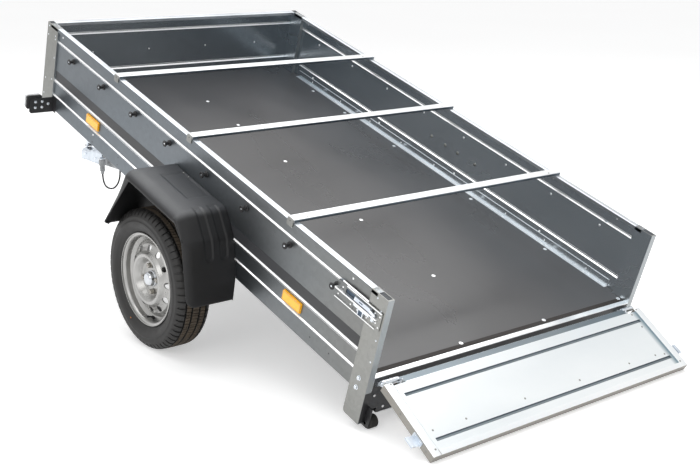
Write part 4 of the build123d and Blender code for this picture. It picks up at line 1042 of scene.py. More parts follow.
def finishShell(bm, name, mirrored):
    # both faces of the shell, kept inside the width of the CAD
    piece = newPiece(bm, name, "guardPlastic guardEdge", onBed, mirrored, outward=False)
    piece.data.polygons.foreach_set("use_smooth", [True] * len(piece.data.polygons))
    shell = piece.modifiers.new("thickness", "SOLIDIFY")
    shell.thickness = guard["thick"] / 1000
    shell.offset = -1
    # the rim faces of the shell take the lighter plastic: a painted highlight along the lip
    shell.material_offset_rim = 1
    piece.data = shapedMesh(piece)
    piece.modifiers.clear()
    limit = stand["halfWidth"] / 1000
    for v in piece.data.vertices:
        v.co.x = max(-limit, min(limit, v.co.x))
    return settlePiece(piece, name, "bed")


# Washers and screws that hold the mudguards, seen from inside and on top
def buildGuardScrews():
    bm = bmesh.new()
    for y in guard["screws"][0]:
        addBolt(bm, (innerFace, guard["centre"] + y, guard["screws"][1]), rightward, 6.0, 0, "hex")
    for y in guard["topScrews"][0]:
        addBolt(bm, (-bed["half"] - 2, guard["centre"] + y, guard["topScrews"][1]), upward, 3.6)
    addMirror(bm)
    finishPiece(bm, "guardScrews", "postZinc")


for side, tail in sides:
    buildGuard("mudguard_" + tail, side > 0)
buildGuardScrews()
print("mudguards built")


# Wheels, drawn for the left one from the middle of the wheel, outer side towards -X
wheel = {
    "out": 730.5,
    "half": 50.8,
    "seat": 165.1,
    "pitches": 62,
    "vents": 12,
    "ventRadius": 12.0,
    "ventCircle": 119.0,
    "boltCircle": 50.0,
    "firstBolt": 84.0,
    "valve": 269.0,
    "dot": 299.0,
    "weldRadius": 146.2,
}

# Half section of the tyre from the bead to the middle of the tread: out, radius, kind of surface
tyreSection = (
    (46.8, 166.3, "side"), (50.5, 172, "side"), (54, 180, "side"), (58, 185, "side"), (61, 187.5, "side"),
    (61.6, 190.5, "side"), (66.3, 196, "side"), (70.2, 204, "side"), (72.2, 213, "side"), (72.4, 220, "side"),
    (71.2, 221.5, "side"), (71.0, 229, "side"), (70.6, 235, "side"), (70.6, 237.5, "side"),
        (69.4, 240, "side"),
    (67.6, 245.5, "fade"), (64.6, 251.5, "shoulder"), (60.4, 257.4, "shoulder"), (55.4, 261.8, "shoulder"),
    (50, 264.6, "shoulder"), (45.6, 265.6, "shoulder"), (44.9, 265.4, "edge"), (44.2, 258.6, "groove"),
    (39.8, 258.8, "groove"), (39.1, 265.9, "edge"), (38.4, 266.2, "rib"), (30, 266.4, "rib"),
        (19.6, 266.5, "rib"),
    (18.9, 266.3, "edge"), (18.2, 259.2, "groove"), (13.8, 259.2, "groove"), (13.1, 266.4, "edge"),
    (12.4, 266.6, "rib"), (0, 266.6, "rib"),
)


# Inner side of the casing and the beads
tyreLining = (
    (-46.8, 166.3), (-44.0, 166.3), (-52, 184), (-64, 214), (-60, 244), (-42, 257), (0, 258.5), (42, 257),
        (60, 244),
    (64, 214), (52, 184), (44.0, 166.3), (46.8, 166.3),
)

# Stations in a pitch of the tread: share of the pitch, slot in the shoulder, slit in the ribs
treadCuts = (
    (0.0, 0, 0), (0.28, 0, 0), (0.31, 0, 1), (0.38, 0, 1), (0.41, 0, 0), (0.66, 0, 0), (0.71, 1, 0),
        (0.8, 1, 0),
    (0.82, 1, 1), (0.88, 1, 1), (0.9, 1, 0), (0.93, 1, 0), (0.97, 0, 0),
)
slotDepth = {"shoulder": 4.6, "fade": 1.6}
slitDepth = {"rib": 3.4, "edge": 3.4}


def treadPoint(x, r, kind, turn, slot, slit, odd):
    # blocks of the ribs are set a little askew from rib to rib
    lag = 0.0
    if kind in ("rib", "edge", "groove"):
        lag = 0.12 * (1 if abs(x) > 16 else -1) + (0.1 if odd else 0) + x * 0.004
    a = 2 * pi * (turn + lag) / wheel["pitches"]
    depth = max(slotDepth.get(kind, 0.0) if slot else 0.0, slitDepth.get(kind, 0.0) if slit else 0.0)
    inward = depth * 0.35 if abs(x) > 48 else 0.0
    return (x + (inward if x < 0 else -inward), (r - depth) * cos(a), (r - depth) * sin(a))


def buildTyre(name, body, place, mirrored):
    bm = bmesh.new()
    columns = [(-x, r, kind) for x, r, kind in tyreSection]
    columns += [(x, r, kind) for x, r, kind in tyreSection[-2::-1]]
    rings = []
    for pitch in range(wheel["pitches"]):
        for share, slot, slit in treadCuts:
            points = [treadPoint(*column, pitch + share, slot, slit, pitch % 2) for column in columns]
            rings.append([bm.verts.new(c) for c in points])
    for one, two in zip(rings, rings[1:] + rings[:1]):
        for k in range(len(columns) - 1):
            face = bm.faces.new((one[k], one[k + 1], two[k + 1], two[k]))
            face.material_index = int(columns[k][2] == columns[k + 1][2] == "rib")
    addTurned(bm, tyreLining, 96)
    a = radians(wheel["dot"])
    dotAt = Matrix.Translation((-71.2, 195 * cos(a), 195 * sin(a)))
    addTurned(bm, [(-0.4, 0), (-0.4, 2.6), (0.8, 2.8), (0.8, 0)], 14, 2, place=dotAt)
    finishPiece(bm, name, "treadRubber soilFilm amberDot", body=body, place=place, sharp=40,
        mirrored=mirrored)


# Disc from the hub outwards, half of the rim's section, and the valve: (x, radius, rounding)
discSection = (
    (-27, 27), (-27, 57), (-30, 65, 6), (-46, 76, 9), (-55, 85, 8), (-54.5, 96, 7), (-41, 107, 8),
        (-33.5, 120, 8),
    (-30.5, 133, 6), (-20, 140.5, 5), (-14, 146.3),
)
flange = ((-8, 8), (-8, 11), (-5.5, 13, 2), (-2, 12, 3), (0, 3, 4), (6, 0, 4))
valveLine = ((-26, 158), (-29, 153), (-34, 149.5), (-42, 147), (-52, 144.5))


def onCircle(radius, degrees):
    return radius * cos(radians(degrees)), radius * sin(radians(degrees))


def buildRim(name, body, place, mirrored):
    half, seat = wheel["half"], wheel["seat"]
    bm = bmesh.new()
    addTurned(bm, bent(discSection, -3.5, 5), 144, closed=True)
    cutter = bmesh.new()
    for k in range(wheel["vents"]):
        a = 2 * pi * k / wheel["vents"]
        addRod(cutter, "x", wheel["ventRadius"], (wheel["ventCircle"] * cos(a), wheel["ventCircle"] * sin(a)),
            -half, 0, 28)
    for k in range(4):
        addRod(cutter, "x", 7.0, onCircle(wheel["boltCircle"], wheel["firstBolt"] + 90 * k), -half, 0, 20)
    cutAway(bm, cutter)
    outer = [(-half + p[0], seat + p[1], *p[2:]) for p in flange]
    outer += [(-half + 24, seat - 1, 5), (-half + 36, seat - 17, 7), (half - 44, seat - 17, 7),
        (half - 30, seat - 1, 5)]
    outer += [(half - p[0], seat + p[1], *p[2:]) for p in flange[::-1]]
    addTurned(bm, bent(outer, -3.0), 144, closed=True)
    # weld bead between dish and barrel, then the rubber valve in the barrel
    weld = wheel["weldRadius"]
    for k in range(4):
        turns = [2 * pi * (k + 0.5) / 4 + t * 0.05 for t in range(-5, 6)]
        addTube(bm, [(-12.6, weld * cos(a), weld * sin(a)) for a in turns], 1.9, 8)
    valve = [(x, *onCircle(r, wheel["valve"])) for x, r in valveLine + ((-49, 145.3), (-57.5, 143.2))]
    for part, radius, count in ((valve[:5], 3.4, 12), (valve[:3], 6.0, 14), (valve[5:], 4.2, 12)):
        addTube(bm, part, radius, count, 1)
    finishPiece(bm, name, "wheelSilver blackPlastic", 0.6, body=body, place=place, sharp=38,
        mirrored=mirrored)


def buildHub(name, body, place, mirrored):
    bm = bmesh.new()
    addTurned(bm, [(-23.5, 0), (-23.5, 64), (-21, 66), (-15, 66), (-13.5, 64), (-13.5, 36), (-8, 34),
        (40, 34), (50, 37), (60, 37), (62, 35), (62, 16)], 64)
    # cap pressed into the hub
    cap = curvedCorners([(-23, 31), (-30, 31, 2), (-31, 27.5, 1), (-45, 26.5, 5), (-51.5, 20, 6), (-52, 0)],
        5)
    addTurned(bm, [(p.x, p.y) for p in cap], 48, 2)
    for k in range(4):
        a = radians(wheel["firstBolt"] + 90 * k)
        at = Matrix.Translation((0, wheel["boltCircle"] * cos(a), wheel["boltCircle"] * sin(a)))
        addTurned(bm, [(-24, 7), (-27.2, 7), (-29.5, 11.5), (-31, 11.8), (-31.5, 9.8)], 24, 1, place=at)
        addTurned(bm, [(-31, 9.6), (-41, 9.6), (-43, 8.2), (-43, 0)], 6, 1, place=at)
        addTurned(bm, [(-42.4, 5.0), (-43.4, 4.6), (-43.4, 0)], 16, 0, place=at)
    return finishPiece(bm, name, "hubSteel boltSteel capChrome", 0.5, body=body, place=place,
        mirrored=mirrored)


def buildWheels():
    for side, tail in sides:
        place = onBar @ Matrix.Translation((side * wheel["out"], 0, 0))
        for build, name in ((buildTyre, "tyre_"), (buildRim, "wheel_rim_"), (buildHub, "hub_")):
            build(name + tail, "wheel_" + tail, place, side > 0)


buildWheels()
print("wheels built")


# Tailgate, from its hinge line as it stands closed: sheet on the inner side, frame behind it
gate = {
    "half": 630.0,
    "length": 295.0,
    "out": -8.5,
    "inner": 21.5,
    "sheet": 2.0,
    "rail": 33.0,
    "freeRail": 20.0,
    "grooves": (70.0, 244.0),
    "grooveDeep": 4.0,
    "grooveHalf": 4.5,
    "grooveEnd": 582.0,
    "slant": 26.0,
    "drop": 9.0,
    "bolts": ((-572, 211), (-430, 211), (-163, 212), (106, 214), (370, 216), (516, 219), (565, 37),
        (565, 96), (563, 226)),
    "tube": (618.0, 556.0),
    "tubeGap": 7.0,
    "notch": 15.9,
    "railBolts": ((9, 22, 3.2, "flat"), (10, 272, 3.6, "dome")),
    "sideBolts": (40, 120, 262),
    "edgeBolts": (-480, -333, -175, 60, 260, 470),
    "stiffeners": (-300, 0, 300),
    "stiffenerParts": ((30, 62), (78, 236), (252, 274)),
    "catch": (217.0, 23.0, 19.0),
}


def addAcross(bm, axis, outline, side, near, far, slot=0):
    # run on one side of the middle, from near to far
    start, end = sorted((side * near, side * far))
    addRun(bm, axis, outline, start, end, slot)


def gateSkin(foot, grooved=True):
    # inner sheet with two pressed grooves and a strip that leans away along the hinges
    top, end = gate["inner"], gate["length"] - gate["freeRail"]
    line = [(top, foot)] if foot else [(top - gate["drop"], 0.5), (top, gate["slant"], 5)]
    h, d = gate["grooveHalf"], gate["grooveDeep"]
    for z in gate["grooves"] if grooved else ():
        line += [(top, z - h - 1.5, 1), (top - d, z - h + 1, 1), (top - d, z + h - 1, 1),
            (top, z + h + 1.5, 1)]
    return bent(line + [(top, end + 0.5)], gate["sheet"], 3)


def gateFinish(c, n, slot):
    # painted shade: the faces in the pressed grooves and the leaning strip take darker zinc copies than the
    # flat sheet; painted highlight: the tops of the rails take a lighter copy than their sides
    top, grooves = gate["inner"], gate["grooves"]
    inGroove = any(abs(c.z - z) < gate["grooveHalf"] + 2 for z in grooves) and abs(c.x) < gate["grooveEnd"]
    if inGroove and c.y > top - gate["grooveDeep"] - 0.5 and (n.z > 0.3 or c.y < top - 1.5):
        return 3 if n.z > 0.3 or c.z < min(grooves, key=lambda z: abs(z - c.z)) else 4
    if c.z < gate["slant"] - 1 and n.y > 0.3 and n.z < -0.2:
        return 4
    # painted highlight: the tops of the rails take a lighter copy of the rail zinc
    return 5 if n.y > 0.5 and slot == 1 else None


def buildGate():
    bm = bmesh.new()
    field, ends, foot = gate["half"] - gate["rail"], gate["grooveEnd"], gate["notch"] + 12
    top, low, h = gate["inner"], gate["out"], gate["grooveHalf"] + 1.5
    end, tubeIn = gate["length"] - gate["freeRail"], gate["tube"][1] - gate["tubeGap"]
    addRun(bm, "x", gateSkin(0), -tubeIn, tubeIn)
    bmesh.ops.recalc_face_normals(bm, faces=bm.faces[:])
    for side in (-1, 1):
        addAcross(bm, "x", gateSkin(foot), side, tubeIn, ends)
        addAcross(bm, "x", gateSkin(foot, False), side, ends, field + 0.5)
        # closed ends of the grooves
        for z in gate["grooves"]:
            x0, x1 = sorted((side * ends, side * (ends + 2)))
            addBlock(bm, x0, x1, top - gate["grooveDeep"] - 1.6, top - 1.0, z - h, z + h)
        # side rail with its folded return
        x0, x1 = sorted((side * field, side * gate["half"]))
        rail = loopCorners([(x0, low, 1.5), (x1, low, 1.5), (x1, top, 2.5), (x0, top, 2.5)], 3)
        addRun(bm, "z", rail, gate["notch"] + 0.2, gate["length"], 1)
        for x, z, size, head in gate["railBolts"]:
            addBolt(bm, (side * (field + x), top, z), forward, size, 2, head)
        for z in (60, 230):
            addBolt(bm, (side * (field + 12), low, z), rearward, 4.0, 2)
        for z in gate["sideBolts"]:
            addBolt(bm, (side * gate["half"], 6.5, z), (side, 0, 0), 3.4, 2)
    # rail along the free edge, a lower step in the sheet before it, stiffeners behind
    free = loopCorners([(low, end, 2), (low, gate["length"], 2), (top, gate["length"], 2.5), (top, end, 1)],
        3)
    addRun(bm, "x", free, -field + 0.2, field - 0.2, 1)
    step = [(top - 0.2, end - 1.2), (top + 0.35, end - 0.6), (top + 0.35, end + 0.6), (top - 0.2, end + 1.2)]
    addRun(bm, "x", step, -field, field)
    paintFaces(bm, gateFinish)
    hinge = loopCorners([(low, 0, 1.5), (low + 2, 0, 0), (low + 2, 16, 1.5), (low, 16, 1.5)], 2)
    addRun(bm, "x", hinge, -tubeIn, tubeIn)
    addRun(bm, "x", [(low, 0), (top - gate["drop"], 0.3), (top - gate["drop"], 2.0), (low, 2.0)], -tubeIn,
        tubeIn)
    half = [(15, top - 2), (13, top - 2), (13, low + 8)]
    for x in gate["stiffeners"]:
        stiff = [(x - 15, top - 2), (x - 15, low + 6), (x + 15, low + 6)]
        stiff += [(x + a, b) for a, b in half] + [(x - a, b) for a, b in half[:0:-1]]
        for z0, z1 in gate["stiffenerParts"]:
            addRun(bm, "z", stiff, z0, z1)
    for x, z in gate["bolts"]:
        addBolt(bm, (x, top, z), forward, 3.8, 2)
        addBolt(bm, (x, top - 2, z), rearward, 4.2, 2, "hex")
    for x in gate["edgeBolts"]:
        addBolt(bm, (x, 6.5, gate["length"]), upward, 2.6, 2)
    finishPiece(bm, "tailgate_panel",
        "gateZinc railZinc postZinc pressedZinc slantZinc railTop", 0.5, body="tailgate")

    bm = bmesh.new()
    inner, outer = gate["tube"][1], gate["tube"][0]
    addRod(bm, "x", 6, (0, 0), -outer, -inner + 1, 24)
    addTurned(bm, [(-outer - 2.0, 0), (-outer - 2.0, 4.2), (-outer - 0.5, 6), (-outer, 6)], 24)
    ear = [Vector(p) for p in circle(8.5, count=20, start=pi)][:11]
    plate = [(p.x, p.y) for p in ear] + [(8.5, 3), (top, 12), (top, gate["notch"]), (low, gate["notch"])]
    addRun(bm, "x", plate, -inner + 1, -inner + 7)
    addBolt(bm, (-inner + 7, 0, 0), rightward, 6.4)
    addMirror(bm)
    finishPiece(bm, "tailgate_hinges", "hardwareZinc", 0.4, body="tailgate")

    # hooks on the ends that the latches pull on
    bm = bmesh.new()
    x, (z, wide, hooked) = -gate["half"], gate["catch"]
    addRun(bm, "x", oblong(-5, 17, z - wide, z + wide, 3, 3), x - 3, x + 0.1)
    hook = bent([(x - 1, 3), (x - 22, 3, 3), (x - 24, 9, 2), (x - 36, 9, 3), (x - 38.5, 1.5)], 3.0)
    addRun(bm, "z", hook, z - hooked, z + hooked)
    for dz in (-13, 13):
        addBolt(bm, (x - 3, 11, z + dz), leftward, 3.6, 1)
    addMirror(bm)
    finishPiece(bm, "tailgate_catches", "catchZinc hardwareZinc", 0.5, body="tailgate")


# Rear sill: folded channel with the hinge tubes on its ends
sill = {"deep": 36.0, "high": 40.0, "sheet": 3.0, "strip": 21.0, "bolts": (-520, -200, 200, 520),
    "tube": (9.9, 6.5)}


def buildSill():
    bm = bmesh.new()
    side, y, top = bed["half"] - post["width"], bed["rear"], bed["floor"] - floorBoard["thick"]
    ahead, low = y + sill["deep"], top - sill["high"]
    addRun(bm, "x", bent([(ahead, top), (y, top, 3), (y, low, 3), (ahead, low)], sill["sheet"], 3), -side,
        side)
    strip = [(y, top - 1), (y + sill["strip"], top - 1), (y + sill["strip"], top + 12, 2), (y, top + 12, 2)]
    addRun(bm, "x", loopCorners(strip, 3), -side, side)
    # thin dark sheet over the rear face of the sill: painted shade of that face
    addRun(bm, "x", [(y - 0.5, low + 1), (y + 0.2, low + 1), (y + 0.2, top + 9), (y - 0.5, top + 9)],
        -side + 1, side - 1, 2)
    hy, hz = stand["hingeBack"], stand["hingeHeight"]
    for sign in (-1, 1):
        x0, x1 = sorted(sign * x for x in gate["tube"])
        addPipe(bm, "x", *(circle(r, (hy, hz), 32) for r in sill["tube"]), x0, x1, 1)
        web = [(y + 0.5, top - 3), (hy + 3, hz - 6), (hy + 3, hz - 9.6), (y + 0.5, top - 24)]
        addRun(bm, "x", web, x0 + 4, x1 - 4, 1)
        for x in (x0 + 4, x1 - 4):
            bead = [(x, y + 0.5 + (hy - y) * t / 6, top - 3 + (hz - 6 - top + 3) * t / 6) for t in range(7)]
            addTube(bm, bead, 1.7, 8, 1)
    for x in sill["bolts"]:
        addBolt(bm, (x, y, top - 20), rearward, 5.0, 1)
    finishPiece(bm, "rear_sill", "brightZinc hardwareZinc blackPaint", 0.5)


buildGate()
buildSill()
print("tailgate built")


# Section of a spool, out from the face of the wall: foot, neck, head with a hollow end
spoolSection = (
    (0.3, 0), (0.3, 11.6), (-2.6, 12), (-4.6, 10.8), (-6.2, 6.6), (-16.4, 6.2), (-18.2, 9.6), (-19.4, 11.7),
        (-22, 12),
    (-23.6, 11), (-24, 9.2), (-22.6, 7.4), (-22.2, 4.6), (-23, 4.2), (-23, 0),
)


def buildSpools():
    bm = bmesh.new()
    for y in spoolPlaces():
        at = Matrix.Translation((0, y, bed["rim"] - spool["depth"]))
        addTurned(bm, [(wallFace + x, r) for x, r in spoolSection], 28, place=at)
        addTurned(bm, [(wallFace + x, r) for x, r in ((-22.4, 3.6), (-23.6, 3.2), (-23.9, 0))], 14, 1,
            place=at)
    addMirror(bm)
    finishPiece(bm, "tarp_spools", "blackPlastic hardwareZinc", 0.3, 1)


# Amber side reflectors: a moulded tray with the lens in it
reflector = {"places": (700.0, -720.0), "length": 104.0, "height": 40.0, "depth": 264.0, "thick": 7.0}


def buildReflectors():
    bm = bmesh.new()
    face = wallFace
    l, h, t = reflector["length"] / 2, reflector["height"] / 2, reflector["thick"]
    for place in reflector["places"]:
        y, z = bed["middle"] + place, bed["rim"] - reflector["depth"]

        def plate(inset, radius):
            return oblong(y - l + inset, y + l - inset, z - h + inset, z + h - inset, radius)
        addRun(bm, "x", plate(0, 5), face - 3.0, face + 0.2, 0)
        addRun(bm, "x", plate(1.6, 4.5), face - t, face - 2.9, 0)
        addRun(bm, "x", plate(7.5, 2.5), face - t - 0.01, face - t + 0.6, 1)
    addMirror(bm)
    finishPiece(bm, "side_reflectors", "amberLens amberPrism", 1.3, 3)


# Front position lamps on bent brackets
marker = {
    "reach": 102.0,
    "height": 68.0,
    "depth": 306.0,
    "bolts": ((26, -16), (26, -42), (56, -16), (56, -42), (84, -29)),
    "width": 70.0,
    "tall": 62.0,
    "thick": 24.0,
    "over": 14.0,
    "ridges": (7, 8.3),
}


def buildMarkers():
    bm = bmesh.new()
    half = bed["half"]
    y = bed["front"] - wall["frontPost"] - 3
    top = bed["rim"] - marker["depth"]
    low = top - marker["height"]
    x0 = -half - marker["reach"]
    plate = loopCorners([(x0, low, 14), (-half + 7, low, 2), (-half + 7, top, 2), (x0, top, 14)], 6)
    addRun(bm, "y", plate, y - 3, y)
    for dx, dz in marker["bolts"]:
        addBolt(bm, (x0 + dx, y - 3, top + dz), rearward, 5.0, 1, "hex")
    addBlock(bm, -half + 5.4, -half + 7, y - 26, y - 3, low + 2, top - 2)
    addMirror(bm)
    finishPiece(bm, "lamp_brackets", "blackPaint hardwareZinc", 0.6)
    bm = bmesh.new()
    mx, mz = x0 - marker["over"], top + marker["over"]

    def body(inset, radius):
        return oblong(mx + inset, mx + marker["width"] - inset, mz - marker["tall"] + inset, mz - inset,
            radius, 5)
    addRun(bm, "y", body(1, 9), y, y + 10, 0)
    addRun(bm, "y", body(2.5, 8), y + 9.9, y + marker["thick"], 1)
    ridges, pitch = marker["ridges"]
    for k in range(ridges):
        x = mx + 10 + k * pitch
        addBlock(bm, x, x + 1.2, y + marker["thick"] - 1.2, y + marker["thick"], mz - marker["tall"] + 10,
            mz - 10, 1)
    for dz in (12, marker["tall"] - 12):
        addBolt(bm, (mx + marker["width"] / 2, y, mz - dz), rearward, 3.0)
    addMirror(bm)
    finishPiece(bm, "front_markers", "blackPlastic clearLens", 0.8)


# Latches on the rear posts, measured from the post's rear edge and down from the rim
latch = {
    "plate": 3.0,
    # rear, front, top, low, how far out it stands and starts, rounding, slot
    "bars": (
        # plate in strips round its window, bars along its edges, the window's end and its ground
        (8, 80, 52, 114, 0, -3, 3, 4), (80, 140, 52, 114, 0, -3, 3, 5), (138, 227, 52, 62, 0, -3, 2, 5),
        (138, 227, 76, 114, 0, -3, 2, 5), (184, 227, 61, 77, 0, -3, 1, 5), (8, 180, 50, 53.5, 4, 0, 1.2, 2),
        (20, 227, 76.5, 81.5, 11, 0, 1.5, 2), (25, 140, 111.5, 115, 5, 0, 1.2, 2),
        (138, 227, 111.5, 115, 5, 0, 1.2, 2), (213, 227, 52, 113, -2.9, -10, 2, 1),
        (137, 185, 61, 77, -1.8, -2.4, 0.5, 3),
        # lever with a slot, and the hook it pulls
        (56, 134, 60, 74, 8, 0, 4, 1), (56, 134, 84, 92, 7, 0, 3, 0),
        (92, 110, 64.5, 68.5, 8.4, 7.6, 1.5, 3), (86, 108, 92, 111, 6, 4.6, 2, 3),
        (84, 87.5, 90, 112, 6.6, 0, 1, 0), (106, 109.5, 90, 112, 6.6, 0, 1, 0),
    ),
    "rivets": (
        (216, 101), (152, 102), (200, 68), (118, 102), (72, 102), (30, 95), (16, 66), (16, 104), (40, 66),
    ),
    "leverRivets": ((131, 70), (61, 88)),
}


def buildLatches():
    bm = bmesh.new()
    rear, rim, face = bed["rear"], bed["rim"], -bed["half"] - latch["plate"]
    for a, b, top, low, out, start, radius, slot in latch["bars"]:
        addRun(bm, "x", oblong(rear + a, rear + b, rim - low, rim - top, radius, 3), face - out, face - start,
            slot)
    # rounded grip and nose of the lever
    for k in range(5):
        a = pi * k / 4
        bow = [(face - 1 - 5.5 * sin(a * t / 6), rear + 50 - 14 * k / 4, rim - 74 - 22 * t / 6)
            for t in range(7)]
        addTube(bm, bow, 2.2, 10)
    addTube(bm, [(face - 8 + 0.8 * k, rear + 56 - 4.2 * k, rim - 67 - 1.5 * k) for k in range(6)], 5.5, 12)
    for rivets, out, size in ((latch["rivets"], 0, 3.2), (latch["leverRivets"], 8, 3.0)):
        for a, d in rivets:
            addBolt(bm, (face - out, rear + a, rim - d), leftward, size, 2)
    addMirror(bm)
    finishPiece(bm, "side_latches",
        "hardwareZinc catchZinc brightZinc steelBlue postZinc wallZinc", 0.4)


# Board between the feet of the rear posts, with the rear lamps on it
board = {
    "in": 14.0,
    "low": 92.0,
    "top": 202.0,
    "side": 620.0,
    "sheet": 2.0,
    "bolts": ((-30, 175), (20, 168), (-230, 112), (-30, 112)),
    "lampIn": 175.0,
    "lampWidth": 190.0,
    "lampTall": 84.0,
    "lampThick": 30.0,
    "lampMiddle": 147.0,
    # ends of each lens from the lamp's outer edge, and its slot
    "lenses": ((3, 62, 2), (63, 126, 1), (127, 187, 1)),
    "roller": (-1101.0, 83.0),
    "rollerIn": 31.0,
    "rollerWidth": 36.0,
}


def buildBoard():
    bm = bmesh.new()
    y, low, top, foot = bed["rear"] + board["in"], board["low"], board["top"], board["roller"][1] + 30
    cut = board["side"] - 48
    line = [(y + 30, low + 1), (y + 1, low + 1, 3), (y + 1, top - 1, 3), (y + 30, top - 1)]
    addRun(bm, "x", bent(line, -board["sheet"], 3), -cut + 4, cut - 4)
    upper = bent([(y + 1, foot)] + line[2:], -board["sheet"], 3)
    for side in (-1, 1):
        addAcross(bm, "x", upper, side, cut - 4, board["side"])
        for x, z in board["bolts"]:
            addBolt(bm, (side * (cut + x), y, z), rearward, 5.0, 1)
    edge = [(y - 0.6, low - 0.2), (y + 3, low - 0.2), (y + 3, low + 1.6), (y - 0.6, low + 1.6)]
    addRun(bm, "x", edge, -cut + 4, cut - 4, 1)
    finishPiece(bm, "lamp_board", "boardPaint brightZinc", 0.5)
    bm = bmesh.new()
    x0 = -bed["half"] + board["lampIn"]
    z0, z1 = board["lampMiddle"] - board["lampTall"] / 2, board["lampMiddle"] + board["lampTall"] / 2
    out = y - board["lampThick"]
    addRun(bm, "y", oblong(x0, x0 + board["lampWidth"], z0, z1, 8, 5), out + 9, y, 0)
    for a, b, slot in board["lenses"]:
        addRun(bm, "y", oblong(x0 + a, x0 + b, z0 + 3, z1 - 3, 5), out, out + 9.2, slot)
        for k in range(3):
            addBolt(bm, (x0 + (a + b) / 2, out, z0 + 18 + 24 * k), rearward, 4.0, slot)
    addMirror(bm)
    finishPiece(bm, "rear_lamps", "blackPlastic redLens amberLens", 0.7)
    bm = bmesh.new()
    a, at = -bed["half"] + board["rollerIn"], Matrix.Translation((0, *board["roller"]))
    b = a + board["rollerWidth"]
    profile = [(a, 6.6), (a, 15), (a + 1.5, 16.5), (a + 1.5, 19.5), (a + 3.5, 22)]
    profile += [(a + b - x, r) for x, r in profile[::-1]]
    addTurned(bm, profile, 48, closed=True, place=at)
    for k in range(6):
        x = a + 7 + 4.4 * k
        addTurned(bm, [(x, 21.9), (x + 0.5, 22.0), (x + 1.7, 22.0), (x + 2.2, 21.9)], 48, place=at)
    addMirror(bm)
    finishPiece(bm, "ground_rollers", "groundRubber", 0.5)


buildSpools()
buildReflectors()
buildMarkers()
buildLatches()
buildBoard()
print("fittings built")

# Underframe: folded cross members, rails along them, and the axle on its hangers
underframe = {
    "side": 640.5,
    "top": 242.0,
    "low": 184.0,
    "members": (840.0, 587.0, 225.0, -293.0, -728.0),
    "memberBolts": (-610, -200, 200, 610),
    "width": 40.0,
    "thick": 2.5,
    "rail": (433.0, 473.0),
    "railEnd": (-674.0, 894.0),
    "hanger": (467.0, 473.0),
    "hangerFoot": 85.0,
    "windows": ((-34, 110), (0, 122), (34, 110)),
    "hangerBolts": (-66, -22, 22, 66),
    "beam": 30.0,
    "collar": 80.0,
    "beamEnd": 655.5,
    "stubEnd": 729.5,
    "tongue": (1120.0, 140.5),
    "plate": (75.0, 1195.5),
}


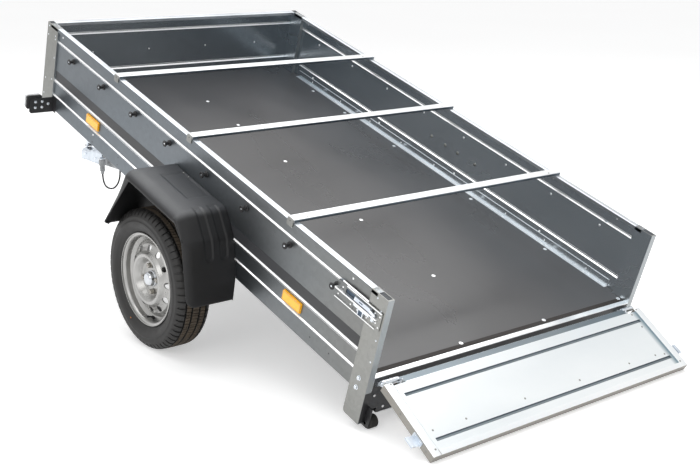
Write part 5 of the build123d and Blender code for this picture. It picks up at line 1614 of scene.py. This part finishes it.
def buildUnderframe():
    side, top, low, width = (underframe[k] for k in ("side", "top", "low", "width"))
    railIn, railOut = underframe["rail"]
    bm = bmesh.new()
    for place in underframe["members"]:
        y = bed["middle"] + place - width / 2
        channel = curvedCorners([(y + width, top), (y, top, 4), (y, low, 4), (y + width, low)], 3)
        addRun(bm, "x", thickened(channel, underframe["thick"]), -side, side)
        for x in underframe["memberBolts"]:
            addBolt(bm, (x, y, (top + low) / 2), rearward, 5.0, 1)
        for x in (-(railIn + 20), railIn + 20):
            addBolt(bm, (x, y + width / 2, low + 2.5), upward, 6.0, 1, "hex")
    finishPiece(bm, "cross_members", "frameZinc hardwareZinc", 0.4)

    bm = bmesh.new()
    rear, front = underframe["railEnd"]
    for x0, x1 in ((railIn, railOut), (-railOut, -railIn)):
        addRun(bm, "z", oblong(x0, x1, rear, front, 8), bed["base"], low)
        for place in underframe["members"]:
            addBolt(bm, ((x0 + x1) / 2, bed["middle"] + place, bed["base"]), downward, 6.5, 1, "hex")
        for y in range(-560, 860, 140):
            addBolt(bm, ((x0 + x1) / 2, y, bed["base"]), downward, 4.0, 1, "flat")
    finishPiece(bm, "long_rails", "frameZinc hardwareZinc", 0.5)

    bm = bmesh.new()
    plateIn, plateOut = underframe["hanger"]
    r, base = underframe["beam"], bed["base"]
    foot = underframe["hangerFoot"]
    outline = loopCorners([(-foot, base), (-44, 0, 20), (-30, -44, 10), (30, -44, 10), (44, 0, 20),
        (foot, base)], 5)
    addRun(bm, "x", outline, -plateOut, -plateIn)
    cutter = bmesh.new()
    addRod(cutter, "x", r + 0.3, (0, 0), -plateOut - 5, -plateIn + 5, 48)
    for y, z in underframe["windows"]:
        addRod(cutter, "x", 13, (y, z), -plateOut - 5, -plateIn + 5, 28)
    cutAway(bm, cutter)
    addBlock(bm, -plateIn, -plateIn + 40, -foot, foot, base - 6, base)
    for y in underframe["hangerBolts"]:
        addBolt(bm, (-plateIn + 22, y, base - 6), downward, 7.0, 1, "hex")
    seam = [(-plateIn + 2, -80 + 16 * k, base - 7.5) for k in range(11)]
    addTube(bm, seam, 2.4, 8)
    addTube(bm, ringAbout(-plateIn + 0.5, r + 2, 24), 2.2, 8)
    addMirror(bm)
    finishPiece(bm, "axle_hangers", "frameZinc hardwareZinc", 0.5)

    bm = bmesh.new()
    end, stub = underframe["beamEnd"], underframe["stubEnd"]
    half = [(0, r), (380, r), (381, r), (end - 22, r), (end - 20.5, r), (end - 3, r), (end, r - 3), (end, 22),
        (end + 8, 17), (end + 10, 15), (stub - 10, 15), (stub - 8, 13.5), (stub - 1, 13.5), (stub, 12.5),
        (stub, 0)]
    addTurned(bm, [(-x, radius) for x, radius in reversed(half)] + half[1:], 48)
    for side in (-1, 1):
        bead = ((end - 23, r - 0.5), (end - 21.5, r + 1.6), (end - 18.5, r + 1.6), (end - 17, r - 0.5))
        addTurned(bm, [(side * x, radius) for x, radius in bead], 48, 1)
        collar = [(underframe["collar"] + x, r + rise) for x, rise in ((0, -0.5), (0, 4), (6, 4), (6, -0.5))]
        addTurned(bm, [(side * x, radius) for x, radius in collar], 40, 1)
    finishPiece(bm, "axle_beam", "frameZinc hardwareZinc", 0.3, 1)

    # tongue under the front that comes down on the bar
    bm = bmesh.new()
    y, pad = underframe["tongue"]
    tongue = loopCorners([(-25, pad, 4), (25, pad, 4), (25, base), (-25, base)], 4)
    addRun(bm, "y", tongue, y - 30, y + 30)
    addBlock(bm, -25, 25, y - 30, y + 30, base - 0.1, base + 6.5)
    wide, front = underframe["plate"]
    plate = loopCorners([(-wide, y - 30, 8), (wide, y - 30, 8), (wide, front), (-wide, front)], 4)
    addRun(bm, "z", plate, base + 1.5, base + 6.5)
    for x in (-55, 55):
        for dy in (-14, 50):
            addBolt(bm, (x, y + dy, base + 1.5), downward, 7.0, 1, "hex")
    addRod(bm, "x", 6.5, (y, pad + 14), -29, 29, 20, 1)
    finishPiece(bm, "lock_tongue", "frameZinc hardwareZinc", 0.6)


# Drawbar, level: square tube, sleeve round the axle, pad under the tongue
bar = {
    "half": 30.0,
    "wall": 3.0,
    "rear": -55.0,
    "front": 1830.0,
    "middle": 91.5,
    "rivets": (150, 420, 700, 980, 1260, 1500),
    # bore, radius and reach of the sleeve round the axle, cheeks that hold it
    "sleeve": (30.3, 39.3, 52.0),
    "cheek": 6.0,
    "cheekBolts": ((-20, 8), (72, 8), (28, -12)),
    "pad": (1090.0, 1150.0),
    "padRibs": 5,
}


def squareRing(half, middle, radius):
    return oblong(-half, half, middle - half, middle + half, radius)


def buildDrawbar():
    half, middle, rear, front = (bar[k] for k in ("half", "middle", "rear", "front"))
    bm = bmesh.new()
    addPipe(bm, "y", squareRing(half, middle, 7), squareRing(half - bar["wall"], middle, 4), rear, front)
    addRun(bm, "y", squareRing(half - bar["wall"] - 0.1, middle, 4), rear + 1, rear + 9, 2)
    addRun(bm, "y", squareRing(half - 0.6, middle, 6), rear, rear + 0.8, 2)
    for y in bar["rivets"]:
        for side in (-1, 1):
            addBolt(bm, (side * half, y, middle), (side, 0, 0), 4.0, 1)
    finishPiece(bm, "drawbar", "frameZinc hardwareZinc blackPlastic", 0.3, 1,
        body="drawbar")

    bm = bmesh.new()
    bore, radius, reach = bar["sleeve"]
    addPipe(bm, "x", circle(radius, count=56), circle(bore, count=56), -reach, reach)
    for side in (-1, 1):
        addTube(bm, ringAbout(side * (reach - 1.5), radius - 0.3, 36), 1.6, 8)
    high, low = middle + half, middle - half
    cheeks = bmesh.new()
    plate = [(rear, high, 4), (-radius, middle, 8), (-radius, 0, 30), (0, -radius, 30), (radius, 0, 30),
        (95, low, 8)]
    addRun(cheeks, "x", loopCorners(plate + [(95, high, 4)], 5), -half - bar["cheek"], -half)
    cutter = bmesh.new()
    addRod(cutter, "x", bore, (0, 0), -half - 20, -half + 10, 56)
    cutAway(cheeks, cutter)
    for y, up in bar["cheekBolts"]:
        addBolt(cheeks, (-half - bar["cheek"], y, middle + up), leftward, 7.0, 1, "hex")
    addMirror(cheeks)
    made = bpy.data.meshes.new("cheeks")
    cheeks.to_mesh(made)
    cheeks.free()
    bm.from_mesh(made)
    bpy.data.meshes.remove(made)
    addTurned(bm, [(0, 3.2), (6, 3.2), (7, 2.2), (9, 2.6), (11, 1.2), (11, 0)], 12, 1,
        place=Matrix.Translation((0, 0, -radius)) @ turnTo((0, 0, -1)))
    finishPiece(bm, "tip_pivot", "frameZinc hardwareZinc", 0.4, body="drawbar")

    bm = bmesh.new()
    y0, y1 = bar["pad"]
    for k in range(bar["padRibs"]):
        y = y0 + 12.4 * k
        rib = loopCorners([(-half, high + 5), (half, high + 5), (half, high + 14, 3), (-half, high + 14, 3)],
            3)
        addRun(bm, "y", rib, y, y + 10.4)
    addRun(bm, "z", oblong(-half, half, y0, y1, 3, 3), high, high + 5.2)
    for y in (y0 + 11, y1 - 11):
        addBolt(bm, (0, y, high + 13.4), upward, 6.0, 1, "flat")
    finishPiece(bm, "rest_pad", "groundRubber hardwareZinc", 0.8, body="drawbar")


# Coupling head: pressing over the end of the bar with a cup for the ball, and its lever
coupling = {
    "rear": 1740.0,
    "ball": 1955.0,
    "low": 61.5,
    "top": 125.5,
    "ballRadius": 25.5,
    "boltAt": (1768.0, 1808.0),
    # sections along the bar: place, half width, drop of the top, rounding
    "sections": (
        (1740, 36, 0, 8), (1846, 36, 0, 8), (1872, 34.5, 3, 10), (1900, 32, 9, 12), (1926, 32.5, 5, 15),
        (1955, 33, 2, 20), (1978, 29, 8, 22), (1990, 23, 18, 16), (1997, 17, 30, 10),
    ),
    "edge": ((35, 1742), (35, 1846), (32.5, 1880), (31, 1905), (32, 1945), (30, 1973), (22, 1990)),
    "lever": ((1964.6, 148, 8), (1950, 159.4, 10), (1880, 156.5, 60), (1824, 157.5, 20), (1805.5, 152.5)),
    "cheek": ((1964, 150, 8), (1944, 159.4, 8), (1850, 159, 3), (1850, 151, 3), (1926, 149, 10)),
}


def buildCoupling():
    low, top, ball, rear = (coupling[k] for k in ("low", "top", "ball", "rear"))
    bm = bmesh.new()
    rings = []
    for y, half, drop, radius in coupling["sections"]:
        high = top - drop
        loop = loopCorners([(-half, low, 2), (half, low, 2), (half, high, radius), (-half, high, radius)], 6)
        rings.append([bm.verts.new((p.x, y, p.y)) for p in loop])
    for a, b in zip(rings, rings[1:]):
        for k in range(len(a)):
            j = (k + 1) % len(a)
            bm.faces.new((a[k], a[j], b[j], b[k]))
    bm.faces.new(rings[0][::-1])
    bm.faces.new(rings[-1])
    cutter = bmesh.new()
    inside = bar["half"] + 0.1
    addBlock(cutter, -inside, inside, rear - 10, bar["front"] + 1, low - 10, bar["middle"] + inside)
    cutAway(bm, cutter)
    cutter = bmesh.new()
    r = coupling["ballRadius"]
    cup = [(-r - 20, 0), (-r - 20, r)] + [(r * sin(pi / 2 * k / 10), r * cos(pi / 2 * k / 10))
        for k in range(11)]
    addTurned(cutter, cup, 48, place=Matrix.Translation((0, ball, low + r)) @ turnTo((0, 0, 1)))
    cutAway(bm, cutter)
    # turned-out lower edge, ribs and bolts
    for side in (-1, 1):
        edge = [(side * x, y, low + 1.6) for x, y in coupling["edge"]]
        addTube(bm, edge, 2.4, 10)
        for y in coupling["boltAt"]:
            addBolt(bm, (side * 36, y, 88), (side, 0, 0), 8.5, 1, "hex")
        addBolt(bm, (side * 33, 1925, 96), (side, 0, 0), 7.0, 1, "hex")
    rib = loopCorners([(-9, top - 0.5), (9, top - 0.5), (7, top + 2.5, 2), (-7, top + 2.5, 2)], 3)
    addRun(bm, "y", rib, rear + 12, 1850)
    for y in (1752, 1862):
        for x in (20, -20):
            addBolt(bm, (x, y, top - 1), upward, 4.5, 1)
    finishPiece(bm, "coupling_head", "catchZinc hardwareZinc", 0.5, body="drawbar")

    bm = bmesh.new()
    addRun(bm, "x", bent(((1962, top - 1),) + coupling["lever"], 4.0, 6), -13, 13)
    cheek = loopCorners(((1940, top, 4), (1964, top, 6)) + coupling["cheek"], 5)
    for side in (-1, 1):
        addAcross(bm, "x", cheek, side, 13, 16.8)
    addRod(bm, "x", 5.5, (1950, 134), -17, 17, 20, 1)
    addRun(bm, "y", loopCorners([(-10, 158.5, 2), (10, 158.5, 2), (10, 161.2, 1), (-10, 161.2, 1)], 3), 1866,
        1908, 2)
    for k in range(6):
        y = 1812 + 6 * k
        ridge = [(y, 156.4), (y + 3, 156.4), (y + 2.4, 159.4, 0.6), (y + 0.6, 159.4, 0.6)]
        addRun(bm, "x", loopCorners(ridge, 2), -11, 11)
    finishPiece(bm, "coupling_handle", "hardwareZinc hubSteel blackPlastic", 0.5,
        body="drawbar")


# Jockey wheel beside the bar, drawn from the ground
jockey = {
    "x": 68.0,
    "y": 1400.0,
    "clamp": (333.1, 389.1),
    "tube": (24.0, 21.5, 228.0, 593.1),
    "lid": 601.1,
    "clampRing": (32.3, 24.3),
    "handle": (54.0, 34.0),
    "crank": 110.0,
    "stem": (17.0, 216.0, 420.0),
    "axle": (1368.0, 100.0),
    "forkOut": 35.0,
    "wheelHalf": 24.0,
    "wheelRadius": 100.0,
    "spokes": 8,
}


def ringAt(radius, count=40):
    return circle(radius, (jockey["x"], jockey["y"]), count)


def buildJockey():
    x, y = jockey["x"], jockey["y"]
    low, high = jockey["clamp"]
    bm = bmesh.new()
    middle = (low + high) / 2
    outer, inner = jockey["clampRing"]
    addPipe(bm, "z", ringAt(outer), ringAt(inner), low, high)
    for z0, z1 in ((low + 6, low + 14), (high - 14, high - 6)):
        addPipe(bm, "z", ringAt(outer + 1.1), ringAt(outer - 0.8), z0, z1)
    addBlock(bm, bar["half"], x - 24.6, y - 18, y + 18, low, high)
    for z in (low + 12, high - 12):
        for side in (-1, 1):
            addBolt(bm, (bar["half"] + 4.5, y + side * 11, z), (0, side, 0), 3.4, 1)
    # handle of the clamp's screw with a knob at each end
    out, reach = jockey["handle"]
    addRod(bm, "y", 6, (x, middle), y + 31, y + out - 2, 20, 1)
    addRod(bm, "x", 5, (y + out, middle), x - reach, x + reach, 16, 1)
    knob = [(-8, 0), (-8, 6), (-5, 8), (5, 8), (8, 6), (8, 0)]
    for side in (-1, 1):
        addTurned(bm, knob, 20, 2, place=Matrix.Translation((x + side * reach, y + out, middle)))
    finishPiece(bm, "jockey_clamp", "hardwareZinc hubSteel blackPlastic", 0.5, body="drawbar",
        place=onGround)

    bm = bmesh.new()
    radius, bore, low, high = jockey["tube"]
    lid = jockey["lid"]
    addPipe(bm, "z", ringAt(radius, 48), ringAt(bore, 48), low, high)
    at = Matrix.Translation((x, y, 0)) @ turnTo((0, 0, 1))
    cover = [(high - 6, radius - 0.2), (high - 6, radius), (high + 4, radius), (lid - 1, 20), (lid, 17),
        (lid, 0)]
    addTurned(bm, cover, 48, 1, place=at)
    collar = [(low, radius - 0.1), (low + 1, radius), (low + 7, radius), (low + 8, radius - 0.1)]
    addTurned(bm, collar, 48, 1, place=at)
    addBolt(bm, (x, y + radius, high - 30), forward, 4.0, 1)
    finishPiece(bm, "jockey_tube", "brightZinc hardwareZinc", 0.4, 1, body="jockey_leg")

    bm = bmesh.new()
    arm, out = lid + 24, y + jockey["crank"]
    crank = [(x, y, lid - 1), (x, y, arm + 5, 14), (x, out, arm + 5, 14), (x, out, arm + 76)]
    addTube(bm, curvedSpace(crank), 6, 16)
    grip = Matrix.Translation((x, out, 0)) @ turnTo((0, 0, 1))
    profile = [(arm + 12, 6), (arm + 12, 10), (arm + 15, 12)]
    profile += [(arm + 18 + 5 * k + d, r) for k in range(10) for d, r in ((0, 12), (1.6, 11.2), (3.4, 11.2))]
    profile += [(arm + 72, 12), (arm + 77, 11), (arm + 79.9, 7), (arm + 79.9, 0)]
    addTurned(bm, profile, 32, 1, place=grip)
    addBolt(bm, (x, y, arm + 10.6), upward, 5.0)
    finishPiece(bm, "jockey_crank", "hardwareZinc blackPlastic", 0.3, 1, body="jockey_leg")

    bm = bmesh.new()
    radius, low, high = jockey["stem"]
    axleY, axleZ = jockey["axle"]
    out = jockey["forkOut"]
    addPipe(bm, "z", ringAt(radius, 40), ringAt(radius - 3, 40), low, high)
    addPipe(bm, "z", ringAt(21.1, 40), ringAt(radius - 0.2, 40), high - 20, high)
    saddle = [(x - out, axleZ + 40), (x - out, low, 9), (x + out, low, 9), (x + out, axleZ + 40)]
    addRun(bm, "y", bent(saddle, -5.0, 6), y - 40, y + 15)
    leg = [(y + 15, low - 12, 4), (y - 45, low - 12, 6), (axleY - 22, axleZ - 18, 18),
        (axleY + 22, axleZ - 18, 18)]
    leg = loopCorners(leg, 6)
    for side in (-1, 1):
        x0, x1 = sorted((x + side * (out - 5), x + side * out))
        addRun(bm, "x", leg, x0, x1)
        addBolt(bm, (x + side * (out - 1.2), axleY, axleZ), (side, 0, 0), 8.0, 1)
    addRod(bm, "x", 7, (axleY, axleZ), x - out, x + out, 24, 1)
    seam = [(x + (radius + 1) * cos(2 * pi * k / 24), y + (radius + 1) * sin(2 * pi * k / 24))
        for k in range(25)]
    addTube(bm, [(a, b, low + 1) for a, b in seam], 2.0, 8)
    finishPiece(bm, "jockey_fork", "hardwareZinc hubSteel", 0.5, body="jockey_fork")

    bm = bmesh.new()
    half, radius = jockey["wheelHalf"], jockey["wheelRadius"]
    place = onGround @ Matrix.Translation((x, axleY, axleZ))
    left = [(-half + 3, 66), (-half, 74, 4), (-half, 88, 6), (-half + 10, radius, 8)]
    tread = curvedCorners(left + [(-p[0], *p[1:]) for p in left[::-1]], 5)
    addTurned(bm, [(p.x, p.y) for p in tread] + [(half - 8, 64), (-half + 8, 64)], 72, 0, closed=True)
    rim = [(-half + 4, 66), (-half + 4, 60, 2), (-10, 56, 4), (-8, 24, 4), (-10, 20, 4), (-28, 16, 2),
        (-28.8, 15)]
    face = [(p.x, p.y) for p in curvedCorners(rim + [(-28.8, 7.5)], 3)]
    addTurned(bm, face + [(-a, r) for a, r in reversed(face)], 64, 1, closed=True)
    for k in range(jockey["spokes"]):
        a = 2 * pi * k / jockey["spokes"]
        for side in (-1, 1):
            spoke = [(side * 9, (22 + 5 * t) * cos(a), (22 + 5 * t) * sin(a)) for t in range(7)]
            addTube(bm, spoke, 3.0, 8, 1)
    finishPiece(bm, "jockey_wheel", "treadRubber plugGrey", 0.4, 1, body="jockey_wheel",
        place=place)


# Plug in its holder on the left of the bar, and the lead that goes from it back into the bar
plug = {"x": -56.0, "y": 1700.0, "low": 26.0, "top": 104.0, "radius": 17.0, "plate": 21.0, "bolts": 14.0,
    "grips": 10}
leadRoute = (
    (-0.056, 1.402345, 0.2926),
    (-0.056, 1.402345, 0.2546),
    (-0.0478, 1.380345, 0.2206),
    (-0.02976, 1.331945, 0.2206),
    (-0.015, 1.292345, 0.2766),
    (-0.015, 1.292345, 0.3281),
)


def buildPlug():
    x, y, low, top, radius = (plug[k] for k in ("x", "y", "low", "top", "radius"))
    bm = bmesh.new()
    wide, inner = plug["plate"], -bar["half"]
    plate = [(x - wide, y - wide, 14), (inner, y - wide, 1), (inner, y + wide, 1), (x - wide, y + wide, 14)]
    addRun(bm, "z", loopCorners(plate, 6), top, top + 4)
    addRun(bm, "z", circle(12, (x, y), 32), top + 3.9, top + 4.9, 2)
    for side in (-1, 1):
        addBolt(bm, (inner - 7, y + side * plug["bolts"], top + 4), upward, 4.0, 1, "hex")
    finishPiece(bm, "plug_holder", "hardwareZinc hubSteel steelBlue", 0.5, body="drawbar")

    bm = bmesh.new()
    profile = [(0, 4.6), (0, 7.5), (3, 8.5), (12, 9.5), (14, 11)]
    profile += [(16 + 4 * k + d, r) for k in range(6) for d,
        r in ((0, 13.4), (1.6, 13.4), (2.2, 12.2), (3.6, 12.2))]
    profile += [(41, 13.4), (44, 15.4), (46, radius), (70, radius), (72, 16), (74, 16), (75, radius),
        (78, radius), (78, 0)]
    at = Matrix.Translation((x, y, low)) @ turnTo((0, 0, 1))
    addTurned(bm, profile, 40, place=at)
    for k in range(plug["grips"]):
        a = 2 * pi * k / plug["grips"]
        addRod(bm, "z", 1.3, (x + (radius - 0.9) * cos(a), y + (radius - 0.9) * sin(a)), low + 47, low + 69,
            8)
    body = finishPiece(bm, "plug", "plugGrey", 0.3, 1, body="drawbar")

    curve = bpy.data.curves.new("lead", "CURVE")
    curve.dimensions = "3D"
    curve.bevel_depth = 0.0045
    curve.bevel_resolution = 6
    curve.use_fill_caps = True
    curve.resolution_u = 16
    line = curve.splines.new("NURBS")
    line.points.add(len(leadRoute) - 1)
    for point, at in zip(line.points, leadRoute):
        point.co = (*at, 1)
    line.order_u = 3
    line.use_endpoint_u = True
    curve.materials.append(bpy.data.materials["leadRubber"])
    lead = bpy.data.objects.new("lead", curve)
    bpy.context.scene.collection.objects.link(lead)
    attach(lead, "drawbar")
    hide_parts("lead")


buildUnderframe()
buildDrawbar()
buildCoupling()
buildJockey()
buildPlug()
print("underframe, drawbar and coupling built")
